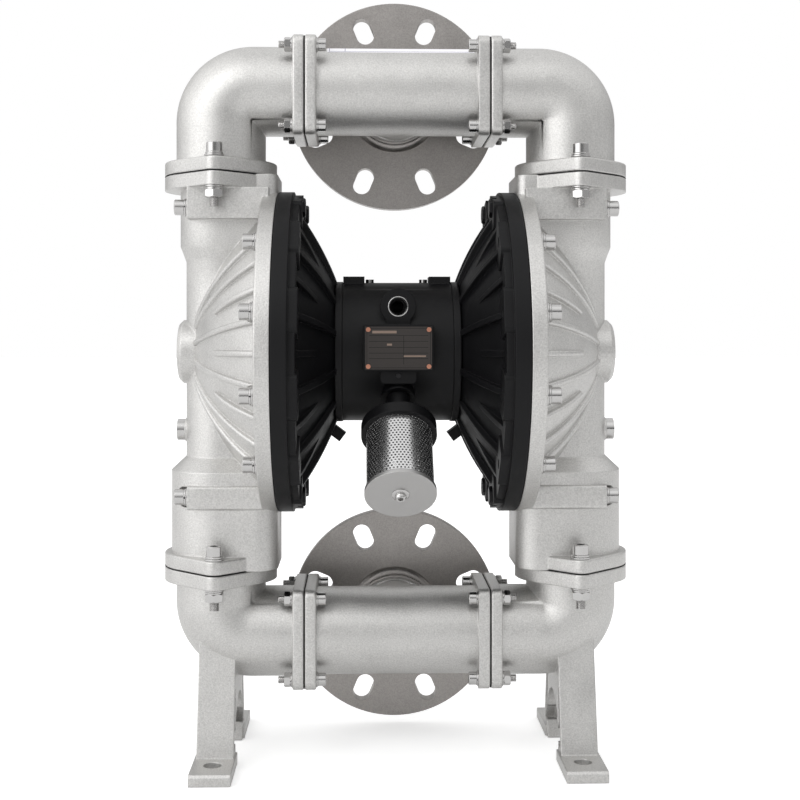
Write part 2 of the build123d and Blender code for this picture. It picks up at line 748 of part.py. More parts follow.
def elbow(pipe_z, joint_z, legged):
    """A right hand elbow from the tee's end to a chamber's oval flange, with or without its two legs."""
    up = 1 if joint_z > pipe_z else -1
    bend_z = pipe_z + up * bend_r
    with BuildPart() as bend:
        if legged:
            with BuildSketch(across_x(pipe_x - leg_width / 2, 0)):
                Polygon((-leg_foot_y, 0), (-leg_foot_y, foot_thickness), (-leg_head_y, leg_head_z),
                        (leg_head_y, leg_head_z), (leg_foot_y, foot_thickness), (leg_foot_y, 0), align=None)
                with BuildLine():
                    arch = ThreePointArc((-arch_half, 0), (0, arch_z), (arch_half, 0))
                    Line(arch @ 1, arch @ 0)
                make_face(mode=Mode.SUBTRACT)
                with Locations((0, (leg_head_z + arch_z) / 2)):
                    Rectangle(2 * leg_head_y, leg_head_z - arch_z)
            extrude(amount=leg_width)
            for face_x, way in ((pipe_x - leg_width / 2, 1), (pipe_x + leg_width / 2, -1)):
                with BuildSketch(across_x(face_x, 0)):
                    Polygon(*pocket_corners, align=None)
                    Polygon(*[(-y, z) for y, z in pocket_corners], align=None)
                extrude(amount=way * pocket_depth, mode=Mode.SUBTRACT)
            for way in (-1, 1):
                with BuildSketch(across_x(pipe_x - foot_width / 2, 0)):
                    Polygon((way * foot_heel_y, 0), (way * foot_front_y, 0),
                            (way * foot_front_y, foot_thickness - foot_edge),
                            (way * (foot_front_y - foot_edge), foot_thickness),
                            (way * foot_heel_y, foot_thickness), align=None)
                extrude(amount=foot_width)
            with BuildSketch(Plane.XY):
                with Locations((pipe_x, foot_pitch_y / 2), (pipe_x, -foot_pitch_y / 2)):
                    Circle(foot_hole_d / 2)
            extrude(amount=foot_thickness, mode=Mode.SUBTRACT)
        add([oval_flange(joint_z, -up).part, square_flange(elbow_face_x, pipe_z, 1).part])
        for radius, mode in ((elbow_d / 2, Mode.ADD), (pipe_bore_d / 2, Mode.SUBTRACT)):
            with BuildSketch(Plane.XY.offset(bend_z)):
                with Locations((pipe_x, 0)):
                    Circle(radius)
            extrude(amount=joint_z - bend_z, mode=mode)
            with BuildSketch(across_x(elbow_face_x, pipe_z)):
                Circle(radius)
            extrude(amount=pipe_x - bend_r - elbow_face_x, mode=mode)
            with BuildSketch(Plane.XY.offset(bend_z)):
                with Locations((pipe_x, 0)):
                    Circle(radius)
                with Locations((pipe_x - bend_r, 0)):
                    Rectangle(2 * radius, 2 * radius, align=(Align.MAX, Align.CENTER), mode=Mode.SUBTRACT)
            revolve(axis=Axis((pipe_x - bend_r, 0, bend_z), (0, up, 0)), revolution_arc=90, mode=mode)
        with BuildSketch(Plane.XY.offset(joint_z)):
            with Locations((pipe_x, oval_bolt_r), (pipe_x, -oval_bolt_r)):
                Circle(bolt_hole_d / 2)
        extrude(amount=-up * oval_thickness, mode=Mode.SUBTRACT)
        with BuildSketch(Plane.XY.offset(joint_z)):
            with Locations((pipe_x, 0)):
                Circle(seat_d / 2 + seat_gap)
        extrude(amount=-up * (seat_below if up > 0 else seat_above), mode=Mode.SUBTRACT)
        if up > 0:
            with BuildSketch(Plane.XY.offset(joint_z)):
                with Locations((pipe_x, 0)):
                    Circle(ring_inner_d / 2 + ring_width)
                    Circle(ring_inner_d / 2, mode=Mode.SUBTRACT)
            extrude(amount=-ring_thickness, mode=Mode.SUBTRACT)
        else:
            with BuildSketch(Plane.XY.offset(joint_z + ball_stop_rise + ball_d / 2)):
                with Locations((pipe_x, 0)):
                    Rectangle(stop_bar_width, pipe_bore_d)
            extrude(amount=stop_bar_h)
        with BuildSketch(across_x(elbow_face_x, pipe_z)):
            with GridLocations(square_bolt_pitch, square_bolt_pitch, 2, 2):
                Circle(small_bolt_hole_d / 2)
        extrude(amount=square_thickness, mode=Mode.SUBTRACT)
    return bend


write_both(elbow(suction_pipe_z, lower_joint_z, True), "suction_elbow")
write_both(elbow(discharge_pipe_z, upper_joint_z, False), "discharge_elbow")


def tee(pipe_z):
    """A straight pipe with a square flange at each end and a branch to the back."""
    with BuildPart() as pipe:
        add([square_flange(-tee_face_x, pipe_z, 1).part, square_flange(tee_face_x, pipe_z, -1).part])
        with BuildSketch(across_x(-tee_face_x, pipe_z)):
            Circle(tee_d / 2)
        extrude(amount=2 * tee_face_x)
        with BuildSketch(Plane.XZ):
            with Locations((0, pipe_z)):
                Circle(branch_d / 2)
        extrude(amount=-branch_length)
        with BuildSketch(across_x(-tee_face_x, pipe_z)):
            Circle(pipe_bore_d / 2)
        extrude(amount=2 * tee_face_x, mode=Mode.SUBTRACT)
        with BuildSketch(Plane.XZ):
            with Locations((0, pipe_z)):
                Circle(branch_bore_d / 2)
        extrude(amount=-branch_length, mode=Mode.SUBTRACT)
        with BuildSketch(across_x(-tee_face_x, pipe_z)):
            with GridLocations(square_bolt_pitch, square_bolt_pitch, 2, 2):
                Circle(small_bolt_hole_d / 2)
        extrude(amount=2 * tee_face_x, mode=Mode.SUBTRACT)
    return pipe


def pipe_flange(pipe_z):
    """A welding neck flange with slots that take more than one bolt circle."""
    with BuildPart() as plate:
        with BuildSketch(Plane(origin=(0, 0, pipe_z), x_dir=(1, 0, 0), z_dir=(0, 0, 1))):
            with BuildLine():
                outside = Polyline((branch_bore_d / 2, flange_back_y), (branch_bore_d / 2, branch_length),
                                   (branch_d / 2, branch_length),
                                   (branch_d / 2, flange_front_y - flange_fillet_r))
                RadiusArc(outside @ 1, (branch_d / 2 + flange_fillet_r, flange_front_y), -flange_fillet_r)
                Polyline((branch_d / 2 + flange_fillet_r, flange_front_y), (flange_d / 2, flange_front_y),
                         (flange_d / 2, flange_back_y), (branch_bore_d / 2, flange_back_y))
            make_face()
        revolve(axis=Axis((0, 0, pipe_z), (0, 1, 0)))
        with BuildSketch(Plane.XZ.offset(-flange_back_y)):
            with Locations((0, pipe_z)):
                with PolarLocations(slot_pitch_r, slot_count, start_angle=180 / slot_count):
                    SlotOverall(slot_length, slot_width)
        extrude(amount=flange_thickness, mode=Mode.SUBTRACT)
    return plate


write(tee(suction_pipe_z), "suction_tee")
write(tee(discharge_pipe_z), "discharge_tee")
write(pipe_flange(suction_pipe_z), "suction_flange")
write(pipe_flange(discharge_pipe_z), "discharge_flange")


def write_pair(right, node):
    """Writes a right hand piece and its mirror image as one node of two solids."""
    with BuildPart() as pair:
        add(right.part)
        mirror(right.part, about=Plane.YZ)
    write(pair, node)


# Gaskets between the square flanges
with BuildPart() as right_gaskets:
    for pipe_z in (suction_pipe_z, discharge_pipe_z):
        with BuildSketch(across_x(tee_face_x, pipe_z)):
            RectangleRounded(square_side - 2 * gasket_margin, square_side - 2 * gasket_margin,
                             square_corner_r - gasket_margin)
            Circle(pipe_bore_d / 2, mode=Mode.SUBTRACT)
            with GridLocations(square_bolt_pitch, square_bolt_pitch, 2, 2):
                Circle(small_bolt_hole_d / 2, mode=Mode.SUBTRACT)
        extrude(amount=joint_gasket_thickness)
write_pair(right_gaskets, "manifold_gaskets")

# Flat rings around the valve seats
with BuildPart() as right_rings:
    for joint_z in (lower_joint_z, upper_joint_z):
        with BuildSketch(Plane.XY.offset(joint_z)):
            with Locations((pipe_x, 0)):
                Circle(ring_inner_d / 2 + ring_width)
                Circle(ring_inner_d / 2, mode=Mode.SUBTRACT)
        extrude(amount=-ring_thickness)
write_pair(right_rings, "seat_gaskets")

# Ball valves: seats and balls
for level, joint_z in (("lower", lower_joint_z), ("upper", upper_joint_z)):
    seat_cone_h = (seat_mouth_d - seat_bore_d) / 2 / tan(radians(seat_angle))
    with BuildPart() as right_seat:
        with BuildSketch(Plane(origin=(pipe_x, 0, joint_z), x_dir=(1, 0, 0), z_dir=(0, -1, 0))):
            Polygon((seat_bore_d / 2, -seat_below), (seat_d / 2, -seat_below), (seat_d / 2, seat_above),
                    (seat_mouth_d / 2, seat_above), (seat_bore_d / 2, seat_above - seat_cone_h), align=None)
        revolve(axis=Axis((pipe_x, 0, joint_z), (0, 0, 1)))
    write_pair(right_seat, f"{level}_ball_seats")
    with BuildPart() as right_ball:
        with Locations((pipe_x, 0, joint_z + ball_rise)):
            Sphere(ball_d / 2)
    with BuildPart() as left_ball:
        mirror(right_ball.part, about=Plane.YZ)
    write(right_ball, f"{level}_right_ball")
    write(left_ball, f"{level}_left_ball")

# Diaphragms: a flat middle, one convolution and an edge clamped between the rims
with BuildPart() as right_diaphragm:
    with BuildSketch(chamber_side):
        with BuildLine():
            Polyline((disc_face_x, clamp_disc_r + convolution_gap),
                     (disc_face_x, spigot_d / 2 + rod_running_gap),
                     (outer_disc_face_x, spigot_d / 2 + rod_running_gap),
                     (outer_disc_face_x, clamp_disc_r + convolution_gap))
            ThreePointArc((outer_disc_face_x, clamp_disc_r + convolution_gap),
                          (outer_disc_face_x + diaphragm_bulge, convolution_r),
                          (outer_disc_face_x, cavity_mouth_r))
            Polyline((outer_disc_face_x, cavity_mouth_r), (rim_face_x + bead_depth, cavity_mouth_r),
                     (rim_face_x + bead_depth, bead_outer_r), (rim_face_x - bead_depth, bead_outer_r),
                     (rim_face_x - bead_depth, cavity_mouth_r), (disc_face_x, cavity_mouth_r))
            ThreePointArc((disc_face_x, cavity_mouth_r), (disc_face_x + diaphragm_bulge, convolution_r),
                          (disc_face_x, clamp_disc_r + convolution_gap))
        make_face()
    revolve(axis=chamber_axis)
write_both(right_diaphragm, "diaphragm")

# Rod with a spigot at each end, and what it carries
with BuildPart() as diaphragm_rod:
    with BuildSketch(across_x(-rod_half)):
        Circle(rod_d / 2)
    extrude(amount=2 * rod_half)
    with BuildSketch(across_x(-rod_end_x)):
        Circle(spigot_d / 2)
    extrude(amount=2 * rod_end_x)
write(diaphragm_rod, "diaphragm_rod")

with BuildPart() as right_inner_disc:
    with BuildSketch(across_x(rod_half)):
        Circle(clamp_disc_r)
        Circle(spigot_d / 2 + rod_running_gap, mode=Mode.SUBTRACT)
    extrude(amount=inner_disc_thickness)
write_pair(right_inner_disc, "inner_clamp_discs")

with BuildPart() as right_outer_disc:
    with BuildSketch(across_x(outer_disc_face_x)):
        Circle(clamp_disc_r)
        Circle(spigot_d / 2 + rod_running_gap, mode=Mode.SUBTRACT)
    extrude(amount=outer_disc_thickness)
write_pair(right_outer_disc, "outer_clamp_discs")

with BuildPart() as right_rod_nut:
    with BuildSketch(across_x(outer_disc_face_x + outer_disc_thickness)):
        RegularPolygon(rod_nut_flats / 2, 6, major_radius=False)
        Circle(spigot_d / 2 + thread_gap, mode=Mode.SUBTRACT)
    extrude(amount=rod_nut_h)
write_pair(right_rod_nut, "rod_end_nuts")

with BuildPart() as right_rod_bush:
    with BuildSketch(across_x(body_half - rod_seal_length)):
        Circle(rod_bush_d / 2)
        Circle(rod_d / 2 + rod_running_gap, mode=Mode.SUBTRACT)
    extrude(amount=-rod_bush_length)
write_pair(right_rod_bush, "rod_bushes")

with BuildPart() as right_rod_seal:
    with BuildSketch(across_x(body_half)):
        Circle(rod_seal_d / 2)
        Circle(rod_d / 2 + rod_running_gap, mode=Mode.SUBTRACT)
    extrude(amount=-rod_seal_length)
write_pair(right_rod_seal, "rod_seals")

# Air valve and pilot rod
with BuildPart() as valve_sleeve:
    with BuildSketch(across_x(-sleeve_half, valve_z)):
        Circle(sleeve_d / 2)
        Circle(spool_d / 2 + rod_running_gap, mode=Mode.SUBTRACT)
    extrude(amount=2 * sleeve_half)
    with BuildSketch(Plane.XZ):
        with Locations((0, valve_z)):
            Circle(sleeve_port_d / 2)
    extrude(amount=sleeve_d, both=True, mode=Mode.SUBTRACT)
write(valve_sleeve, "valve_sleeve")

with BuildPart() as valve_spool:
    with BuildSketch(across_x(-spool_half, valve_z)):
        Circle(spool_waist_d / 2)
    extrude(amount=2 * spool_half)
    for land_x in (-spool_half, -spool_land / 2, spool_half - spool_land):
        with BuildSketch(across_x(land_x, valve_z)):
            Circle(spool_d / 2)
        extrude(amount=spool_land)
write(valve_spool, "valve_spool")

with BuildPart() as right_valve_cap:
    with BuildSketch(across_x(sleeve_half, valve_z)):
        Circle(sleeve_d / 2)
    extrude(amount=body_half - sleeve_half)
write_pair(right_valve_cap, "valve_end_caps")

with BuildPart() as pilot_rod:
    with BuildSketch(across_x(-pilot_half)):
        with Locations((pilot_y, 0)):
            Circle(pilot_d / 2)
    extrude(amount=2 * pilot_half)
write(pilot_rod, "pilot_rod")

with BuildPart() as right_body_screws:
    with BuildSketch(across_x(hub_face_x + air_hub_thickness)):
        with PolarLocations(body_screw_r, body_screw_count, start_angle=180 / body_screw_count):
            Circle(body_screw_d / 2)
    extrude(amount=-air_hub_thickness - body_screw_depth)
    with BuildSketch(across_x(hub_face_x + air_hub_thickness)):
        with PolarLocations(body_screw_r, body_screw_count, start_angle=180 / body_screw_count):
            Circle(body_screw_head_d / 2)
    extrude(amount=body_screw_head_h)
write_pair(right_body_screws, "body_screws")

# Exhaust muffler, along its own axis
with BuildPart() as muffler_nipple:
    with BuildSketch(across_muffler(muffler_boss_t - nipple_depth)):
        Circle(nipple_d / 2)
    extrude(amount=nipple_end_t - muffler_boss_t + nipple_depth)
    with BuildSketch(across_muffler(muffler_boss_t - nipple_depth)):
        Circle(nipple_bore_d / 2)
    extrude(amount=nipple_end_t - nipple_wall - muffler_boss_t + nipple_depth, mode=Mode.SUBTRACT)
    with BuildSketch(across_muffler(nipple_end_t)):
        Circle(tie_bolt_d / 2 + thread_gap)
    extrude(amount=-nipple_wall, mode=Mode.SUBTRACT)
    window_origin = muffler_origin + muffler_way * (nipple_end_t - nipple_window_inset)
    with BuildSketch(Plane(origin=window_origin, x_dir=muffler_way, z_dir=(1, 0, 0))):
        Circle(nipple_window_d / 2)
    extrude(amount=nipple_d, both=True, mode=Mode.SUBTRACT)
    with BuildSketch(Plane(origin=window_origin, x_dir=muffler_way, z_dir=muffler_side)):
        Circle(nipple_window_d / 2)
    extrude(amount=nipple_d, both=True, mode=Mode.SUBTRACT)
write(muffler_nipple, "muffler_nipple")

with BuildPart() as muffler_cap:
    with BuildSketch(across_muffler(muffler_cap_t)):
        Circle(muffler_cap_d / 2)
        Circle(nipple_d / 2, mode=Mode.SUBTRACT)
    extrude(amount=muffler_cap_thickness)
    with BuildSketch(across_muffler(muffler_cap_t + muffler_cap_thickness)):
        Circle(muffler_screen_d / 2)
        Circle(muffler_screen_d / 2 - muffler_screen_wall, mode=Mode.SUBTRACT)
    extrude(amount=-muffler_screen_seat, mode=Mode.SUBTRACT)
write(muffler_cap, "muffler_cap")

with BuildPart() as muffler_screen:
    with BuildSketch(across_muffler(muffler_disc_t)):
        Circle(muffler_screen_d / 2)
        Circle(muffler_screen_d / 2 - muffler_screen_wall, mode=Mode.SUBTRACT)
    extrude(amount=-muffler_length - muffler_screen_seat)
write(muffler_screen, "muffler_screen")

with BuildPart() as muffler_end_disc:
    with BuildSketch(across_muffler(muffler_disc_t)):
        Circle(muffler_disc_d / 2)
        Circle(tie_bolt_d / 2 + thread_gap, mode=Mode.SUBTRACT)
    extrude(amount=muffler_disc_thickness)
write(muffler_end_disc, "muffler_end_disc")

with BuildPart() as muffler_washer:
    with BuildSketch(across_muffler(muffler_disc_t + muffler_disc_thickness)):
        Circle(tie_washer_d / 2)
        Circle(tie_bolt_d / 2 + thread_gap, mode=Mode.SUBTRACT)
    extrude(amount=tie_washer_thickness)
write(muffler_washer, "muffler_washer")

tie_head_t = muffler_disc_t + muffler_disc_thickness + tie_washer_thickness
with BuildPart() as muffler_tie_bolt:
    with BuildSketch(across_muffler(tie_head_t)):
        Circle(tie_bolt_d / 2)
    extrude(amount=nipple_end_t - nipple_wall - tie_head_t)
    with BuildSketch(across_muffler(tie_head_t)):
        Circle(tie_head_d / 2)
    extrude(amount=tie_head_h)
write(muffler_tie_bolt, "muffler_tie_bolt")

# Nameplate with its rivets
with BuildPart() as nameplate:
    with BuildSketch(Plane.XZ.offset(plate_pad_y)):
        with Locations((0, plate_z)):
            Rectangle(plate_width, plate_height)
            with GridLocations(plate_width - 2 * rivet_inset, plate_height - 2 * rivet_inset, 2, 2):
                Circle(rivet_shank_d / 2, mode=Mode.SUBTRACT)
    extrude(amount=plate_thickness)
write(nameplate, "nameplate")

with BuildPart() as nameplate_rivets:
    with BuildSketch(Plane.XZ.offset(plate_pad_y + plate_thickness)):
        with Locations((0, plate_z)):
            with GridLocations(plate_width - 2 * rivet_inset, plate_height - 2 * rivet_inset, 2, 2):
                Circle(rivet_d / 2)
    extrude(amount=rivet_head_h)
    with BuildSketch(Plane.XZ.offset(plate_pad_y + plate_thickness)):
        with Locations((0, plate_z)):
            with GridLocations(plate_width - 2 * rivet_inset, plate_height - 2 * rivet_inset, 2, 2):
                Circle(rivet_shank_d / 2)
    extrude(amount=-plate_thickness - rivet_depth)
write(nameplate_rivets, "nameplate_rivets")

# Small screws of the centre body: two on top and one in the lower pad
with BuildPart() as cover_screws:
    for radius, amount in ((cover_screw_head_d / 2, cover_screw_head_h),
                           (cover_screw_d / 2 - thread_gap, -cover_screw_depth)):
        with BuildSketch(Plane.XY.offset(chamber_z + body_r)):
            with Locations((-cover_screw_x, 0), (cover_screw_x, 0)):
                Circle(radius)
        extrude(amount=amount)
write(cover_screws, "cover_screws")

with BuildPart() as pad_screw:
    for radius, amount in ((pad_screw_head_d / 2, pad_screw_head_h),
                           (pad_screw_d / 2 - thread_gap, -cover_screw_depth)):
        with BuildSketch(Plane.XZ.offset(lower_pad_y)):
            with Locations((0, chamber_z - lower_screw_drop)):
                Circle(radius)
        extrude(amount=amount)
write(pad_screw, "pad_screw")

# Drain plugs
with BuildPart() as right_drain_plug:
    with BuildSketch(across_x(pipe_x + waist_r + drain_boss_proud)):
        with Locations((0, -drain_drop)):
            Circle(drain_d / 2)
    extrude(amount=drain_face_x - pipe_x - waist_r - drain_boss_proud)
    with BuildSketch(across_x(pipe_x + waist_r + drain_boss_proud)):
        with Locations((0, -drain_drop)):
            Circle(drain_thread_d / 2)
    extrude(amount=-drain_thread_length)
write_pair(right_drain_plug, "drain_plugs")


def bolts(seat_plane, places, length, size=(bolt_d, bolt_head_d, bolt_head_h, washer_d, washer_h)):
    """Cap screws on their washers, with their shanks reaching a length behind the plane."""
    shank_d, head_d, head_h, under_d, under_h = size
    with BuildPart() as group:
        for diameter, amount in ((under_d, under_h), (head_d, under_h + head_h), (shank_d, -length)):
            with BuildSketch(seat_plane):
                with Locations(*places):
                    Circle(diameter / 2)
            extrude(amount=amount)
    return group


def nuts(seat_plane, places, size=(bolt_d, nut_across_flats, nut_h, washer_d, washer_h)):
    """Hexagon nuts on their washers."""
    shank_d, flats, height, under_d, under_h = size
    with BuildPart() as group:
        with BuildSketch(seat_plane):
            with Locations(*places):
                Circle(under_d / 2)
        extrude(amount=under_h)
        with BuildSketch(seat_plane):
            with Locations(*places):
                RegularPolygon(flats / 2, 6, major_radius=False)
        extrude(amount=under_h + height)
        with BuildSketch(seat_plane):
            with Locations(*places):
                Circle(shank_d / 2 + thread_gap)
        extrude(amount=under_h + height, mode=Mode.SUBTRACT)
    return group


# Screws of the clamping rims; the nuts of the long ones sit in recesses of the pads, without washers
write_pair(bolts(across_x(fluid_rim_x), short_bolt_places, fluid_rim_x - pad_face_x - thread_end_room),
           "rim_bolts")
write_pair(bolts(across_x(block_end_x), long_bolt_places, block_end_x - rim_nut_seat_x + nut_h),
           "long_rim_bolts")
nut_side = Plane(origin=(rim_nut_seat_x, 0, chamber_z), x_dir=(0, -1, 0), z_dir=(-1, 0, 0))
with BuildPart() as right_rim_nuts:
    with BuildSketch(nut_side):
        with Locations(*long_bolt_places):
            RegularPolygon(nut_across_flats / 2, 6, major_radius=False)
            Circle(bolt_d / 2 + thread_gap, mode=Mode.SUBTRACT)
    extrude(amount=nut_h)
write_pair(right_rim_nuts, "long_rim_nuts")

# Screws of the joints between the chambers and the elbows
oval_places = [(pipe_x, oval_bolt_r), (pipe_x, -oval_bolt_r)]
oval_length = 2 * oval_thickness + washer_h + nut_h + thread_proud
with BuildPart() as right_joint_bolts:
    add(bolts(Plane.XY.offset(lower_joint_z + oval_thickness), oval_places, oval_length).part)
    add(bolts(Plane.XY.offset(upper_joint_z + oval_thickness), oval_places, oval_length).part)
write_pair(right_joint_bolts, "chamber_joint_bolts")
with BuildPart() as right_joint_nuts:
    for joint_z in (lower_joint_z, upper_joint_z):
        nut_seat = Plane(origin=(0, 0, joint_z - oval_thickness), x_dir=(1, 0, 0), z_dir=(0, 0, -1))
        add(nuts(nut_seat, [(x, -y) for x, y in oval_places]).part)
write_pair(right_joint_nuts, "chamber_joint_nuts")

# Screws of the square joints, with their heads towards the middle
square_places = [(y, z) for y in (-square_bolt_pitch / 2, square_bolt_pitch / 2)
                 for z in (-square_bolt_pitch / 2, square_bolt_pitch / 2)]
square_length = (2 * square_thickness + joint_gasket_thickness + small_washer_h + small_nut_h
                 + small_thread_proud)
small_bolt_size = (small_bolt_d, small_bolt_head_d, small_bolt_head_h, small_washer_d, small_washer_h)
small_nut_size = (small_bolt_d, small_nut_flats, small_nut_h, small_washer_d, small_washer_h)
with BuildPart() as right_square_bolts:
    for pipe_z in (suction_pipe_z, discharge_pipe_z):
        head_side = Plane(origin=(tee_face_x - square_thickness, 0, pipe_z), x_dir=(0, -1, 0),
                          z_dir=(-1, 0, 0))
        add(bolts(head_side, square_places, square_length, small_bolt_size).part)
write_pair(right_square_bolts, "manifold_joint_bolts")
with BuildPart() as right_square_nuts:
    for pipe_z in (suction_pipe_z, discharge_pipe_z):
        add(nuts(across_x(elbow_face_x + square_thickness, pipe_z), square_places, small_nut_size).part)
write_pair(right_square_nuts, "manifold_joint_nuts")
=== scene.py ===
"""Looks of an air operated double diaphragm pump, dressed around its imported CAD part."""

import logging
import math
from collections.abc import Iterable, Sequence
from dataclasses import dataclass
from enum import Enum

import bpy
from mathutils import Matrix, Vector


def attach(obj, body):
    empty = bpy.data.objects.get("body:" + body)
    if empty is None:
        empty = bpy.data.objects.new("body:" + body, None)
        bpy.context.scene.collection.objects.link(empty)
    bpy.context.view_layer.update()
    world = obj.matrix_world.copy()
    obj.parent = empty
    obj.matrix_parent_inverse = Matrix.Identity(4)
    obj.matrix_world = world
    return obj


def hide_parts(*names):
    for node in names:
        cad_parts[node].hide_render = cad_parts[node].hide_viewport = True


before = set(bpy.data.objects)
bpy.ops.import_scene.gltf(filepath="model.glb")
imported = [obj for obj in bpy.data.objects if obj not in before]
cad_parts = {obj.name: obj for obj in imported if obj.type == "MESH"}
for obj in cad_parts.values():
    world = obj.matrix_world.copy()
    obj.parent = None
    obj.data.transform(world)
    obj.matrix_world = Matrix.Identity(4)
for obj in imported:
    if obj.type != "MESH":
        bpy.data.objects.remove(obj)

LOG = logging.getLogger("pump")
BODY = "pump_body"
MM = 0.001
# Points closer than this are one
SAME_POINT = 1e-6
HEXAGON = 6

# The part of a noise texture's range that carries most of it
NOISE_RANGE = {"From Min": 0.3, "From Max": 0.7}
# The size of the slow drift of tone over a casting
DRIFT_SIZE = 28.0 * MM
# How far the roughness wanders below and above its value
ROUGHNESS_DRIFT = (-0.04, 0.05)
# The rays that find a soft edge
EDGE_SAMPLES = 6
# How steep a grain of the pattern is, as a share of its width
GRAIN_DEPTH = 0.4
# How far a lathe's marks are drawn out along the axis that they run round
TURNED_STRETCH = (1.0, 0.02, 1.0)

# Places that several pieces share, as in the CAD part
CHAMBER_Z = 417.0 * MM
PIPE_X = 183.0 * MM
PIPE_HEIGHTS = (125.5 * MM, 688.5 * MM)
JOINT_HEIGHTS = (196.0 * MM, 598.0 * MM)
OVAL_EAR_Y = 66.0 * MM
SIDES = (-1, 1)


class Surface(Enum):
    """How a surface was made, which decides its fine pattern."""

    PLAIN = "plain"
    BLASTED = "blasted"
    TURNED = "turned"
    SATIN = "satin"


def linear(hex_code: str) -> tuple[float, float, float, float]:
    """Turns an sRGB hex colour into Blender's linear colour.

    Args:
        hex_code: six hex digits, without the hash sign.

    Returns:
        Linear red, green and blue, with an alpha of 1.
    """
    channels = [int(hex_code[start:start + 2], 16) / 255 for start in (0, 2, 4)]
    red, green, blue = [c / 12.92 if c <= 0.04045 else ((c + 0.055) / 1.055) ** 2.4 for c in channels]
    return red, green, blue, 1.0


def add_node(
    tree: bpy.types.NodeTree,
    kind: str,
    settings: dict[str, object] | None = None,
    inputs: dict[str, object] | None = None,
) -> bpy.types.Node:
    """Adds one shader node.

    Args:
        tree: the node tree that takes it.
        kind: Blender's name for the node's type.
        settings: properties of the node itself.
        inputs: a value, or an output socket to link, for each named input.

    Returns:
        The new node.
    """
    node = tree.nodes.new(kind)
    for name, value in (settings or {}).items():
        setattr(node, name, value)
    for name, value in (inputs or {}).items():
        if isinstance(value, bpy.types.NodeSocket):
            tree.links.new(value, node.inputs[name])
        else:
            node.inputs[name].default_value = value
    return node


